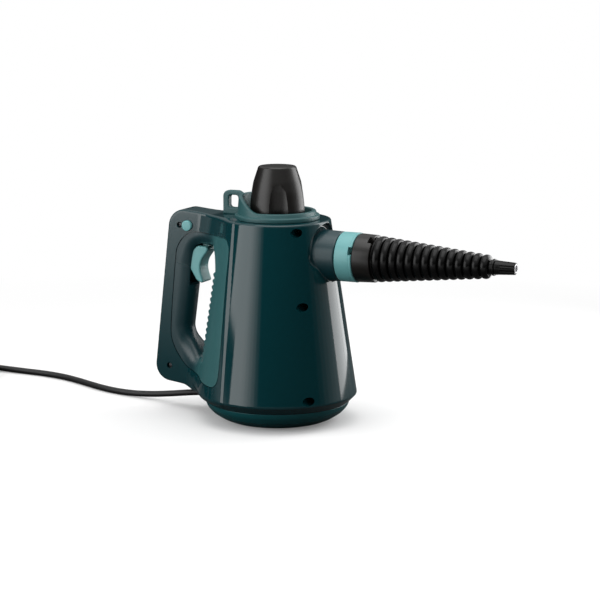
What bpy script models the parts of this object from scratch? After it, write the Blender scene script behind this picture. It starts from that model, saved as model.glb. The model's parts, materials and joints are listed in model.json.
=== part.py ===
"""A handheld steam cleaner, piece by piece, in metres.

+X is forward along the nozzle, +Z is up, and the origin is on the body's axis at floor level.
The housing is two shells that meet on the plane y = 0 and are screwed together from the -Y side.
"""

import math

import bmesh
import bpy
from mathutils import Matrix, Vector

MM = 0.001

# Fits shared by every piece
SEAT = 0.3 * MM
RUN = 0.5 * MM
WALL = 2.5 * MM
OVERRUN = 12 * MM

# Body cone
BODY_SKIRT_RADIUS = 79.6 * MM
SKIRT_OVERHANG = 7.1 * MM
BODY_BASE_RADIUS = BODY_SKIRT_RADIUS - SKIRT_OVERHANG
BODY_BASE_Z = 22 * MM
BODY_SKIRT_Z = 30.5 * MM
BODY_RIM_RADIUS = 53.2 * MM
BODY_TOP_Z = 204.5 * MM
BODY_RIM_FILLET = 3 * MM
BODY_MOUTH_RADIUS = 34 * MM

# Handle slab
HANDLE_HALF_WIDTH = 15 * MM
HANDLE_BLEND_RADIUS = 30 * MM
HANDLE_ROUNDING = 3.5 * MM
HANDLE_ROOT_X = -25 * MM
HANDLE_TOP_X = -64 * MM
HANDLE_TOP_Z = 204.2 * MM
HANDLE_HEEL_X = -113.3 * MM
HANDLE_HEEL_Z = 209.1 * MM
HANDLE_HEEL_RADIUS = 15 * MM
HANDLE_TOE_X = -133.6 * MM
HANDLE_TOE_Z = 31.4 * MM
HANDLE_TOE_RADIUS = 12 * MM
HANDLE_BELLY_X = -98.8 * MM
HANDLE_BELLY_Z = 27.2 * MM
HANDLE_BELLY_RADIUS = 14 * MM
HANDLE_FOOT_X = -86 * MM
HANDLE_FOOT_RISE = 0.5 * MM
HANDLE_FOOT_RADIUS = 4 * MM

# Finger hole through the handle
HOLE_FRONT_TOP_X = -64 * MM
HOLE_FRONT_BELLY_X = -60 * MM
HOLE_FRONT_BELLY_Z = 148 * MM
HOLE_FRONT_FOOT_X = -77 * MM
HOLE_GRIP_TOP_X = -92.2 * MM
HOLE_GRIP_MIDDLE_X = -96.2 * MM
HOLE_GRIP_MIDDLE_Z = 130 * MM
HOLE_GRIP_LOW_X = -101.5 * MM
HOLE_GRIP_LOW_Z = 73 * MM
HOLE_GRIP_FOOT_X = -88 * MM
HOLE_TOP_Z = 172 * MM
HOLE_BOTTOM_Z = 56.3 * MM
HOLE_TOP_RADIUS = 10 * MM
HOLE_FRONT_RADIUS = 30 * MM
HOLE_FOOT_RADIUS = 6 * MM
HOLE_GRIP_RADIUS = 12 * MM
HOLE_LIP = 2.5 * MM
HOLE_GRIP_LIP = 4.5 * MM
HOLE_LIP_DEPTH = 8 * MM
TOOTH_COUNT = 14
TOOTH_PITCH = 6.2 * MM
TOOTH_HEIGHT = 2 * MM
TOOTH_TOP_Z = 147 * MM
TOOTH_SINK = 1.5 * MM
TOOTH_HALF_SHARE = 0.42

# Nozzle collar of the housing
NOZZLE_Z = 169 * MM
COLLAR_ROOT_X = 46 * MM
COLLAR_ROOT_RADIUS = 26.8 * MM
COLLAR_END_X = 68.4 * MM
COLLAR_END_RADIUS = 24.5 * MM
COLLAR_BORE_RADIUS = 21.6 * MM

# Housing screws: three on the cone and two on the handle
CONE_SCREW_SHARES = (0.7055, 0.7299, 0.7413)
CONE_SCREW_ZS = (195.5 * MM, 124.4 * MM, 35 * MM)
HANDLE_SCREW_XS = (-102.3 * MM, -115.7 * MM)
HANDLE_SCREW_ZS = (191.7 * MM, 45.6 * MM)
CONE_BOSS_RADIUS = 5.6 * MM
CONE_COUNTERBORE_RADIUS = 3.6 * MM
HANDLE_BOSS_RADIUS = 4.4 * MM
HANDLE_COUNTERBORE_RADIUS = 2.7 * MM
SCREW_HEAD_HEIGHT = 2 * MM
SCREW_HEAD_SLACK = 0.5 * MM
SCREW_CROWN_SHARE = 0.8
SCREW_SHANK_RADIUS = 1.3 * MM
SCREW_LENGTH = 17 * MM
SCREW_GRIP = 6 * MM
SCREW_DRIVE_RADIUS = 1.1 * MM
SCREW_DRIVE_DEPTH = 1.2 * MM

# Base cover and pad
COVER_SHOULDER_SHARE = 0.9766
COVER_SHOULDER_RADIUS = BODY_BASE_RADIUS * COVER_SHOULDER_SHARE
COVER_SHOULDER_Z = 16 * MM
COVER_CHEEK_SHARE = 0.8993
COVER_CHEEK_RADIUS = BODY_BASE_RADIUS * COVER_CHEEK_SHARE
COVER_CHEEK_Z = 9.2 * MM
COVER_BELLY_SHARE = 0.7931
COVER_BELLY_RADIUS = BODY_BASE_RADIUS * COVER_BELLY_SHARE
COVER_BELLY_Z = 3.8 * MM
COVER_RIM_SHARE = 0.7117
COVER_RIM_RADIUS = BODY_BASE_RADIUS * COVER_RIM_SHARE
COVER_RIM_Z = 0.9 * MM
COVER_FLOOR_Z = 5.4 * MM
PAD_MARGIN = 2.6 * MM
PAD_RADIUS = COVER_RIM_RADIUS - PAD_MARGIN
PAD_HEIGHT = 2.7 * MM
TONGUE_THICKNESS = 1.6 * MM
TONGUE_HEIGHT = 5 * MM

# Top ring and its eyelet
RING_RADIUS = 42 * MM
RING_STEP_Z = 208.8 * MM
RING_LEDGE_RADIUS = 39.2 * MM
RING_CREST_RADIUS = 38.2 * MM
RING_FRONT_Z = 213 * MM
RING_REAR_Z = 226 * MM
RING_WELL_RADIUS = 33.6 * MM
RING_WELL_FOOT_RADIUS = 32.4 * MM
RING_WELL_Z = 206.8 * MM
RING_SKIRT_DEPTH = 5 * MM
RING_SKIRT_THICKNESS = 1.6 * MM
RING_RISE_START_SHARE = 0.1
EYELET_REAR_X = -58.6 * MM
EYELET_TOP_Z = 228 * MM
EYELET_BOTTOM_Z = 206 * MM
EYELET_HALF_WIDTH = 3.2 * MM
EYELET_BAND = 4.2 * MM
EYELET_ROUNDING = 4 * MM
EYELET_HOLE_FRONT_X = -43 * MM

# Pressure boiler
BOILER_RADIUS = 35 * MM
BOILER_WALL = 2 * MM
BOILER_BOTTOM_Z = 42 * MM
BOILER_BOTTOM_THICKNESS = 4 * MM
BOILER_FLANGE_RADIUS = 39.5 * MM
BOILER_FLANGE_THICKNESS = 2 * MM
BOILER_JOINT_Z = 98 * MM
BOILER_GASKET_THICKNESS = 1.2 * MM
BOILER_TOP_Z = 150 * MM
BOILER_ROUNDING = 4 * MM
BOILER_PORT_RADIUS = 12 * MM
SHELF_THICKNESS = 2.7 * MM
SHELF_CLEARANCE = 1 * MM
JACKET_THICKNESS = 3.4 * MM
BOLT_CIRCLE_RADIUS = 37.35 * MM
BOLT_COUNT = 4
BOLT_HEAD_RADIUS = 2.0 * MM
BOLT_HEAD_HEIGHT = 1.8 * MM
BOLT_SHANK_RADIUS = 1.1 * MM

# Filler neck
NECK_RADIUS = 17 * MM
NECK_BORE_RADIUS = 14.6 * MM
NECK_TOP_Z = 208.2 * MM
NECK_FOOT_RADIUS = 20 * MM
NECK_FOOT_THICKNESS = 2 * MM
NECK_FLANGE_RADIUS = 26 * MM
NECK_FLANGE_THICKNESS = 1.7 * MM

# Safety cap
CAP_BASE_RADIUS = 26.6 * MM
CAP_BASE_Z = 212.6 * MM
CAP_TOP_Z = 255 * MM
CAP_RADII = (26.1 * MM, 24.9 * MM, 22.9 * MM, 20.2 * MM, 18.8 * MM, 17.9 * MM)
CAP_HEIGHTS = (219 * MM, 230 * MM, 240 * MM, 250 * MM, 254 * MM, 255 * MM)
CAP_SCOOP_COUNT = 4
CAP_SCOOP_ANGLE_DEG = -62
CAP_SCOOP_RADIUS = 14 * MM
CAP_SCOOP_DEPTH = 2.9 * MM
CAP_SCOOP_TOP_Z = 236 * MM
CAP_CORE_RADIUS = 16.4 * MM
CAP_CORE_TOP_Z = 236 * MM
PLUG_STEM_RADIUS = 14.1 * MM
PLUG_STEM_Z = 188 * MM
PLUG_FLANGE_RADIUS = 24 * MM
PLUG_FLANGE_THICKNESS = 1.8 * MM
CAP_GASKET_THICKNESS = 1.6 * MM
RELIEF_CHAMBER_RADIUS = 5 * MM
RELIEF_CHAMBER_Z = 200 * MM
RELIEF_PORT_RADIUS = 2.4 * MM
RELIEF_STEM_RADIUS = 1.7 * MM
RELIEF_HEAD_RADIUS = 4.2 * MM
RELIEF_HEAD_HEIGHT = 3 * MM
RELIEF_STEM_DROP = 9 * MM
RELIEF_LIFT = 1.5 * MM
RELIEF_COILS = 6
RELIEF_WIRE = 0.9 * MM

# Trigger, its pin and spring
PIVOT_X = -82 * MM
PIVOT_Z = 181 * MM
TRIGGER_HALF_WIDTH = 10 * MM
TRIGGER_HORN_X = -69.8 * MM
TRIGGER_HORN_Z = 166.6 * MM
TRIGGER_TOP_Z = 171 * MM
TRIGGER_FACE_X = -83.4 * MM
TRIGGER_FACE_Z = 147.5 * MM
TRIGGER_TIP_X = -80 * MM
TRIGGER_TIP_Z = 132.6 * MM
TRIGGER_BACK_X = -95 * MM
TRIGGER_BACK_Z = 153 * MM
TRIGGER_BACK_FOOT_X = -90.6 * MM
TRIGGER_BACK_FOOT_Z = 139 * MM
TRIGGER_ROUNDING = 1.5 * MM
TRIGGER_SLOT_FRONT_X = -67 * MM
TRIGGER_SLOT_REAR_X = -104 * MM
TRIGGER_SLOT_FOOT_Z = 130 * MM
ARM_HALF_WIDTH = 4 * MM
ARM_HALF_THICKNESS = 3.2 * MM
ARM_HEIGHT = 12 * MM
ARM_REACH = 7 * MM
PIVOT_BOSS_RADIUS = 5.2 * MM
PIN_RADIUS = 1.8 * MM
PIN_EARS_RADIUS = 4.6 * MM
PIN_EARS_GAP = 11 * MM
PIN_BLIND_WALL = 1.2 * MM
TRIGGER_TRAVEL_DEG = 10
TORSION_COILS = 4
TORSION_WIRE = 0.9 * MM
TORSION_SLACK = 1 * MM

# Child-lock button, which slides across the handle
LOCK_X = -93.3 * MM
LOCK_Z = 191.4 * MM
LOCK_HEAD_RADIUS = 5.4 * MM
LOCK_SHAFT_RADIUS = 2.9 * MM
LOCK_HEAD_DEPTH = 6 * MM
LOCK_PROUD = 2.8 * MM
LOCK_ROUNDING = 0.8 * MM

# Steam valve and the rod that opens it
VALVE_REAR_X = -46 * MM
VALVE_FRONT_X = -25.5 * MM
VALVE_RADIUS = 8 * MM
VALVE_BORE_DEPTH = 13 * MM
STEM_RADIUS = 1.5 * MM
STEM_SLIDING_GAP = 0.35 * MM
ROD_RADIUS = 2.6 * MM
ROD_FRONT_X = -58 * MM
ROD_GUIDE_X = -68 * MM
ROD_GUIDE_THICKNESS = 2.2 * MM
VALVE_SPRING_COILS = 4
VALVE_SPRING_WIRE = 0.9 * MM
VALVE_SPRING_LENGTH = 8 * MM
INLET_RADIUS = 2.6 * MM
PIPE_RADIUS = 2.4 * MM
PIPE_BEND_X_SHARE = 0.7
PIPE_BEND_Y_SHARE = 0.8
INLET_X = -29 * MM

# Socket behind the collar, and the turquoise ring on it
SOCKET_REAR_X = 45.6 * MM
SOCKET_FRONT_X = 59.7 * MM
SOCKET_WALL = 3 * MM
SOCKET_NIPPLE_RADIUS = 4 * MM
SOCKET_NIPPLE_LENGTH = 4 * MM
NOZZLE_RING_FRONT_X = 89.5 * MM
NOZZLE_RING_BORE_RADIUS = 16.2 * MM
NOTCH_WIDTH = 4.4 * MM
NOTCH_DEPTH = 4 * MM
NOTCH_SINK = 2 * MM

# Pull-off nozzle
SPIGOT_RADIUS = 15.4 * MM
SPIGOT_REAR_X = 62 * MM
SEAL_X = 68 * MM
SEAL_WIDTH = 2.4 * MM
SEAL_DEPTH = 1.6 * MM
CONNECTOR_FRONT_X = 108 * MM
CONNECTOR_RADIUS = 23.9 * MM
CONNECTOR_FRONT_RADIUS = 23.2 * MM
CONNECTOR_BORE_RADIUS = 11.6 * MM
CONE_STUB_X = 97 * MM
CONE_WALL = 2.4 * MM
RIB_COUNT = 14
RIB_PITCH = 8.2 * MM
RIB_FIRST_X = 109.6 * MM
RIB_FIRST_RADIUS = 22.4 * MM
RIB_LAST_RADIUS = 11.7 * MM
RIB_DEPTH = 2.4 * MM
RIB_CREST_SHARE = 0.6
CONE_FRONT_LENGTH = 2.6 * MM
CONE_FRONT_X = RIB_FIRST_X + RIB_COUNT * RIB_PITCH + CONE_FRONT_LENGTH
CONE_FLANGE_RADIUS = 10.4 * MM
CONE_FLANGE_THICKNESS = 2.4 * MM
TIP_LENGTH = 22.8 * MM
TIP_FRONT_X = CONE_FRONT_X + TIP_LENGTH
TIP_REAR_RADIUS = 8.6 * MM
TIP_FRONT_RADIUS = 6.2 * MM
TIP_BORE_RADIUS = 4.4 * MM
TIP_STUB_LENGTH = 9 * MM
TIP_FLUTES = 8
TIP_FLUTE_RADIUS = 1.5 * MM
TIP_FLUTE_START_SHARE = 0.15
INSERT_LENGTH = 9 * MM
INSERT_WALL = 1.1 * MM
INSERT_PROUD = 0.4 * MM

# Heating and wiring
ELEMENT_RADIUS = 4 * MM
ELEMENT_LOOP_RADIUS = 25 * MM
ELEMENT_LEG_Z = 26 * MM
ELEMENT_GAP_DEG = 76
ELEMENT_STEPS = 28
ELEMENT_BEND_SHARE = 0.35
ELEMENT_EASE_SHARE = 0.7
THERMOSTAT_RADIUS = 8 * MM
THERMOSTAT_HEIGHT = 7 * MM
THERMOSTAT_X = -6 * MM
FUSE_RADIUS = 2.6 * MM
FUSE_HALF_LENGTH = 9 * MM
FUSE_X = 10 * MM
BLOCK_Y = 4 * MM
BLOCK_HALF_LENGTH = 11 * MM
BLOCK_HALF_WIDTH = 13 * MM
BLOCK_HEIGHT = 12 * MM
BLOCK_POST_RADIUS = 2.6 * MM
BLOCK_POST_HEIGHT = 3 * MM
WIRE_RADIUS = 1.2 * MM
WIRE_SPREAD = 8 * MM
WIRE_RISE_SHARE = 0.3

# Mains lead: where it leaves the base cover, and its own size
CORD_RADIUS = 3.25 * MM
CORD_Y = 12 * MM
CORD_Z = 14 * MM
GLAND_BODY_RADIUS = 5.2 * MM
GLAND_FLANGE_RADIUS = 7 * MM
GLAND_FLANGE_THICKNESS = 2.4 * MM
GLAND_STAND_OFF = 2.1 * MM
GLAND_OUTER_X = -BODY_BASE_RADIUS - GLAND_STAND_OFF
GLAND_BODY_LENGTH = 17.8 * MM
GLAND_INNER_X = GLAND_OUTER_X + GLAND_BODY_LENGTH
GLAND_NUT_RADIUS = 6.3 * MM
GLAND_BOOT_LENGTH = 15.4 * MM
GLAND_END_X = GLAND_OUTER_X - GLAND_BOOT_LENGTH
GLAND_END_RADIUS = 4.2 * MM
GLAND_RINGS = 4
CLAMP_SETBACK = 8.8 * MM
CLAMP_X = GLAND_INNER_X + CLAMP_SETBACK
BLOCK_SETBACK = 16 * MM
BLOCK_X = CLAMP_X + BLOCK_SETBACK
CLAMP_HALF_LENGTH = 3 * MM
CLAMP_WALL = 3 * MM

# Coil of the lead, its tie and its plug
COIL_DISTANCE = 320 * MM
COIL_X = GLAND_END_X - COIL_DISTANCE
COIL_Y = 12 * MM
COIL_RADIUS = 51.2 * MM
COIL_PITCH = 7.3 * MM
COIL_LIFT = 1.2 * MM
COIL_LAYER_TURNS = 3.1875
COIL_CLIMB_TURNS = 0.5
COIL_STEPS_PER_TURN = 24
TAIL_LENGTH = 34 * MM
TIE_THICKNESS = 0.9 * MM
TIE_HALF_WIDTH = 5 * MM
TIE_ANGLE_DEG = 150
PLUG_RADIUS = 18 * MM
PLUG_LENGTH = 32 * MM
PLUG_ROUNDING = 3 * MM
PLUG_RELIEF_LENGTH = 30 * MM
PLUG_RELIEF_RADIUS = 4.4 * MM
PLUG_RELIEF_ROOT_RADIUS = 6.5 * MM
PLUG_PIN_RADIUS = 2.4 * MM
PLUG_PIN_LENGTH = 19 * MM
PLUG_PIN_SPACING = 19 * MM

# Points round one turn of large, middling and small round pieces
LARGE_ROUND = 36
MIDDLE_ROUND = 20
SMALL_ROUND = 12
BOSS_ROUND = 8
TINY_ROUND = 6
RIBBED_ROUND = 16
FLUTE_ROUND = 4
OUTER_STEPS = 3
INNER_STEPS = 1
BLEND_STEPS = 5
BLEND_ROOT_SHARE = 0.5
SPRING_ROUND = 8

# The exact solver leaves open edges on the housing's many cuts
HOUSING_SOLVER = "MANIFOLD"

# An arc in an outline takes at most this share of the edges beside it
ARC_REACH_SHARE = 0.45

# Faces that meet under this angle are one flat face
FLAT_SEAM_DEG = 1.5
SEAM_MERGE = 0.01 * MM

# Colours as linear red, green and blue, with roughness and metallic
FINISHES = {
    "dark_teal": ((0.008, 0.045, 0.055), 0.18, 0),
    "matt_teal": ((0.03, 0.10, 0.11), 0.5, 0),
    "turquoise": ((0.12, 0.42, 0.40), 0.35, 0),
    "cap_black": ((0.018, 0.016, 0.014), 0.35, 0),
    "nozzle_black": ((0.012, 0.012, 0.012), 0.45, 0),
    "rubber": ((0.015, 0.015, 0.015), 0.8, 0),
    "cord_black": ((0.01, 0.01, 0.01), 0.5, 0),
    "steel": ((0.55, 0.55, 0.57), 0.3, 1),
    "brass": ((0.6, 0.42, 0.18), 0.35, 1),
    "aluminium": ((0.6, 0.6, 0.62), 0.45, 1),
    "felt": ((0.5, 0.47, 0.4), 0.95, 0),
    "nylon": ((0.65, 0.63, 0.58), 0.5, 0),
    "silicone": ((0.45, 0.1, 0.06), 0.6, 0),
    "wire_brown": ((0.15, 0.06, 0.02), 0.5, 0),
    "wire_blue": ((0.03, 0.08, 0.4), 0.5, 0),
    "wire_green": ((0.1, 0.35, 0.05), 0.5, 0),
}


def material(slot):
    found = bpy.data.materials.get(slot)
    if found:
        return found
    colour, roughness, metallic = FINISHES[slot]
    made = bpy.data.materials.new(slot)
    made.use_nodes = True
    shader = made.node_tree.nodes["Principled BSDF"]
    shader.inputs["Base Color"].default_value = (*colour, 1)
    shader.inputs["Roughness"].default_value = roughness
    shader.inputs["Metallic"].default_value = metallic
    return made


def link(name, data, slot):
    """Puts data in the scene as a named object with one material."""
    made = bpy.data.objects.new(name, data)
    bpy.context.scene.collection.objects.link(made)
    data.materials.clear()
    data.materials.append(material(slot))
    return made


def solid(name, shape, slot="nylon"):
    """An object from a bmesh, with its faces turned outwards."""
    bmesh.ops.recalc_face_normals(shape, faces=shape.faces)
    data = bpy.data.meshes.new(name)
    shape.to_mesh(data)
    shape.free()
    return link(name, data, slot)


def smooth(piece, degrees=35):
    piece.data.shade_smooth()
    piece.data.set_sharp_from_angle(angle=math.radians(degrees))
    return piece


def joined_rings(shape, rings, loop=False):
    """Faces between neighbouring rings of points, where a ring of one point is a pole."""
    pairs = list(zip(rings, rings[1:]))
    if loop:
        pairs.append((rings[-1], rings[0]))
    for first, second in pairs:
        count = max(len(first), len(second))
        if count == 1:
            continue
        for i in range(count):
            j = (i + 1) % count
            corners = [first[i % len(first)], first[j % len(first)]]
            corners += [second[j % len(second)], second[i % len(second)]]
            face = list(dict.fromkeys(corners))
            shape.faces.new(face)


def ring_about_axis(shape, radius, height, count, axis, step_share=0):
    if radius == 0:
        return [shape.verts.new(along(axis, 0, 0, height))]
    found = []
    for i in range(count):
        angle = math.tau * (i + step_share) / count
        point = along(axis, radius * math.cos(angle), radius * math.sin(angle), height)
        found.append(shape.verts.new(point))
    return found


def along(axis, across, up, height):
    """A point at this height along the axis, and at (across, up) in the plane square to it."""
    if axis == "X":
        return Vector((height, across, up))
    if axis == "Y":
        return Vector((across, height, up))
    return Vector((across, up, height))


def turned(name, profile, slot="nylon", axis="Z", count=MIDDLE_ROUND, at=(0, 0, 0), step_share=0):
    """A closed profile of (radius, height) points turned about an axis, placed at a point."""
    shape = bmesh.new()
    rings = [
        ring_about_axis(shape, radius, height, count, axis, step_share)
        for radius, height in profile
    ]
    closed_on_axis = profile[0][0] == 0 and profile[-1][0] == 0
    joined_rings(shape, rings, loop=not closed_on_axis)
    made = solid(name, shape, slot)
    made.location = at
    return smooth(made)


def cutter(name, profile, **settings):
    """A turned cutter, half a step round from the piece it cuts, so that no edges coincide."""
    return turned(name, profile, step_share=0.5, **settings)


def rod(radius, low, high):
    """The profile of a plain round rod."""
    return [(0, low), (radius, low), (radius, high), (0, high)]


def tube_profile(inner, outer, low, high):
    return [(inner, low), (outer, low), (outer, high), (inner, high)]


def slab(name, outline, stations, slot="nylon", at=(0, 0, 0)):
    """An outline of (x, z) points drawn out along Y, through stations of (y, grow)."""
    shape = bmesh.new()
    rings = []
    for y, grow in stations:
        points = grown(outline, grow)
        rings.append([shape.verts.new((x, y, z)) for x, z in points])
    joined_rings(shape, rings)
    shape.faces.new(rings[0])
    shape.faces.new(rings[-1])
    made = solid(name, shape, slot)
    made.location = at
    return smooth(made)


def grown(outline, grow):
    """The outline moved outwards by grow, a length or a function of the outward direction."""
    count = len(outline)
    area = sum(
        outline[i][0] * outline[(i + 1) % count][1] - outline[(i + 1) % count][0] * outline[i][1]
        for i in range(count)
    )
    turn = 1 if area > 0 else -1
    found = []
    for i, (x, z) in enumerate(outline):
        before = Vector((x - outline[i - 1][0], z - outline[i - 1][1])).normalized()
        after_point = outline[(i + 1) % count]
        after = Vector((after_point[0] - x, after_point[1] - z)).normalized()
        direction = before + after
        normal = Vector((direction.y, -direction.x)).normalized() * turn
        stretch = 1 / max(math.sqrt((1 + before.dot(after)) / 2), 0.5)
        distance = grow(normal) if callable(grow) else grow
        found.append((x + normal.x * distance * stretch, z + normal.y * distance * stretch))
    return found


def rounded(corners, steps=4):
    """An outline from (x, z, radius) corners, each drawn as an arc unless its radius is zero."""
    found = []
    count = len(corners)
    for i, (x, z, radius) in enumerate(corners):
        here = Vector((x, z))
        if radius == 0:
            found.append((x, z))
            continue
        before = Vector(corners[i - 1][:2]) - here
        after = Vector(corners[(i + 1) % count][:2]) - here
        half = before.angle(after) / 2
        reach = radius / math.tan(half)
        reach = min(reach, before.length * ARC_REACH_SHARE, after.length * ARC_REACH_SHARE)
        radius = reach * math.tan(half)
        middle = here + (before.normalized() + after.normalized()).normalized() * (
            radius / math.sin(half)
        )
        start = here + before.normalized() * reach - middle
        end = here + after.normalized() * reach - middle
        sweep = start.angle_signed(end)
        for k in range(steps + 1):
            turned_by = Matrix.Rotation(-sweep * k / steps, 2)
            point = middle + turned_by @ start
            found.append((point.x, point.y))
    return found


def arc_stations(half_width, rounding, steps=3):
    """Stations across a slab whose two rims are rounded over."""
    found = []
    for k in range(steps + 1):
        angle = math.pi / 2 * k / steps
        y = half_width - rounding * (1 - math.sin(angle))
        found.append((y, -rounding * (1 - math.cos(angle))))
    near = [(-y, grow) for y, grow in reversed(found)]
    return near + found


def block(name, low, high, slot="nylon"):
    """A box between two corners."""
    shape = bmesh.new()
    bmesh.ops.create_cube(shape, size=1)
    for vert in shape.verts:
        for i in range(3):
            vert.co[i] = high[i] if vert.co[i] > 0 else low[i]
    return solid(name, shape, slot)


def smooth_route(points, spacing):
    """Points at an even spacing along a smooth curve through the given ones."""
    route = [Vector(point) for point in points]
    first = route[0] * 2 - route[1]
    last = route[-1] * 2 - route[-2]
    padded = [first, *route, last]
    dense = []
    fine = 40
    for i in range(1, len(padded) - 2):
        a, b, c, d = padded[i - 1 : i + 3]
        for k in range(fine):
            t = k / fine
            bend = (a * 2 - b * 5 + c * 4 - d) * (t * t)
            twist = (b * 3 - a - c * 3 + d) * (t * t * t)
            dense.append((b * 2 + (c - a) * t + bend + twist) / 2)
    dense.append(route[-1])
    lengths = [0]
    for a, b in zip(dense, dense[1:]):
        lengths.append(lengths[-1] + (b - a).length)
    steps = max(2, round(lengths[-1] / spacing))
    found = []
    j = 0
    for k in range(steps + 1):
        wanted = lengths[-1] * k / steps
        while j < len(lengths) - 2 and lengths[j + 1] < wanted:
            j += 1
        span = lengths[j + 1] - lengths[j]
        found.append(dense[j].lerp(dense[j + 1], (wanted - lengths[j]) / span))
    return found


def wire(name, points, radius, slot, resolution=1, at=(0, 0, 0)):
    """A round tube along points, with closed ends."""
    data = bpy.data.curves.new(name, "CURVE")
    data.dimensions = "3D"
    line = data.splines.new("POLY")
    line.points.add(len(points) - 1)
    for point, place in zip(line.points, points):
        point.co = (*place, 1)
    data.bevel_depth = radius
    data.bevel_resolution = resolution
    data.use_fill_caps = True
    made = link(name, data, slot)
    made.location = at
    return made


def helix(radius, pitch, coils, start, axis, steps=SPRING_ROUND):
    """Points of a coil spring about an axis, starting at a height."""
    count = coils * steps
    found = []
    for k in range(count + 1):
        angle = math.tau * k / steps
        height = start + pitch * k / steps
        found.append(along(axis, radius * math.cos(angle), radius * math.sin(angle), height))
    return found


def carve(target, others, operation="DIFFERENCE", solver="EXACT"):
    """Cuts the others from target, or joins them to it."""
    for other in others:
        step = target.modifiers.new(other.name, "BOOLEAN")
        step.operation = operation
        step.solver = solver
        step.object = other
        other.hide_render = True
        other.display_type = "WIRE"
    bpy.context.view_layer.update()
    graph = bpy.context.evaluated_depsgraph_get()
    slots = list(target.data.materials)
    result = bpy.data.meshes.new_from_object(target.evaluated_get(graph))
    target.modifiers.clear()
    target.data = result
    result.materials.clear()
    for slot in slots:
        result.materials.append(slot)
    for face in result.polygons:
        face.material_index = 0
    for other in others:
        bpy.data.objects.remove(other)
    return smooth(target)


def without_flat_seams(piece):
    """Takes out the edges that cuts left lying inside flat faces."""
    shape = bmesh.new()
    shape.from_mesh(piece.data)
    bmesh.ops.remove_doubles(shape, verts=shape.verts, dist=SEAM_MERGE)
    bmesh.ops.dissolve_limit(
        shape, angle_limit=math.radians(FLAT_SEAM_DEG), verts=shape.verts, edges=shape.edges
    )
    shape.to_mesh(piece.data)
    shape.free()
    return smooth(piece)


def joined(target, others, solver="EXACT"):
    return carve(target, others, "UNION", solver)


def body_radius(z):
    """The outer radius of the body's straight cone at a height."""
    share = (z - BODY_SKIRT_Z) / (BODY_TOP_Z - BODY_SKIRT_Z)
    return BODY_SKIRT_RADIUS + (BODY_RIM_RADIUS - BODY_SKIRT_RADIUS) * share


def cone_solid(name, inset, bottom_z, top_z):
    """The body's solid of revolution, drawn in by inset on its sides."""
    profile = [(0, bottom_z), (BODY_BASE_RADIUS - inset, bottom_z)]
    if bottom_z < BODY_BASE_Z:
        profile.append((BODY_BASE_RADIUS - inset, BODY_BASE_Z))
    profile.append((BODY_SKIRT_RADIUS - inset, BODY_SKIRT_Z))
    fillet = BODY_RIM_FILLET
    rim = body_radius(top_z - fillet) - inset
    for k in range(4):
        angle = math.pi / 2 * k / 3
        radius = rim - fillet * (1 - math.cos(angle))
        profile.append((radius, top_z - fillet * (1 - math.sin(angle))))
    profile.append((0, top_z))
    return turned(name, profile, count=LARGE_ROUND)


def handle_outline(steps=OUTER_STEPS):
    foot_z = BODY_BASE_Z + HANDLE_FOOT_RISE
    return rounded(
        [
            (HANDLE_ROOT_X, BODY_TOP_Z - HANDLE_FOOT_RISE, 0),
            (HANDLE_TOP_X, HANDLE_TOP_Z, 4 * HANDLE_HEEL_RADIUS),
            (HANDLE_HEEL_X, HANDLE_HEEL_Z, HANDLE_HEEL_RADIUS),
            (HANDLE_TOE_X, HANDLE_TOE_Z, HANDLE_TOE_RADIUS),
            (HANDLE_BELLY_X, HANDLE_BELLY_Z, HANDLE_BELLY_RADIUS),
            (HANDLE_FOOT_X, foot_z, HANDLE_FOOT_RADIUS),
            (HANDLE_ROOT_X, foot_z, 0),
        ],
        steps,
    )


def blend_solid(name, inset):
    """The concave fillets between the handle's sides and the cone, drawn in by inset.

    Each side's fillet is a circle that touches the side's plane and the cone at every height.
    """
    shape = bmesh.new()
    rings = []
    side = HANDLE_HALF_WIDTH - inset
    radius = HANDLE_BLEND_RADIUS + inset
    for z in (BODY_BASE_Z - OVERRUN, BODY_SKIRT_Z, BODY_TOP_Z - inset):
        cone = body_radius(z) - inset
        centre_y = side + radius
        centre_x = -math.sqrt((cone + radius) ** 2 - centre_y**2)
        last = math.atan2(-centre_x, centre_y)
        half = [(centre_x, side)]
        for k in range(1, BLEND_STEPS + 1):
            angle = last * k / BLEND_STEPS
            half.append((centre_x + radius * math.sin(angle), centre_y - radius * math.cos(angle)))
        half.append((0, cone * BLEND_ROOT_SHARE))
        points = half + [(x, -y) for x, y in reversed(half)]
        rings.append([shape.verts.new((x, y, z)) for x, y in points])
    joined_rings(shape, rings)
    shape.faces.new(rings[0])
    shape.faces.new(rings[-1])
    return solid(name, shape)


def handle_blend(name, outline, inset):
    """The fillets beside the cone, ended at the handle's own top and underside."""
    wide = BODY_SKIRT_RADIUS
    blend = slab(name, outline, [(-wide, -inset), (wide, -inset)])
    return carve(blend, [blend_solid(name + "_section", inset)], "INTERSECT", HOUSING_SOLVER)


def hole_outline(steps=OUTER_STEPS):
    return rounded(
        [
            (HOLE_FRONT_TOP_X, HOLE_TOP_Z, HOLE_TOP_RADIUS),
            (HOLE_FRONT_BELLY_X, HOLE_FRONT_BELLY_Z, HOLE_FRONT_RADIUS),
            (HOLE_FRONT_FOOT_X, HOLE_BOTTOM_Z, HOLE_FOOT_RADIUS),
            (HOLE_GRIP_FOOT_X, HOLE_BOTTOM_Z, HOLE_FOOT_RADIUS),
            (HOLE_GRIP_LOW_X, HOLE_GRIP_LOW_Z, HOLE_GRIP_RADIUS),
            (HOLE_GRIP_MIDDLE_X, HOLE_GRIP_MIDDLE_Z, HOLE_FRONT_RADIUS),
            (HOLE_GRIP_TOP_X, HOLE_TOP_Z, HOLE_TOP_RADIUS),
        ],
        steps,
    )


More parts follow.
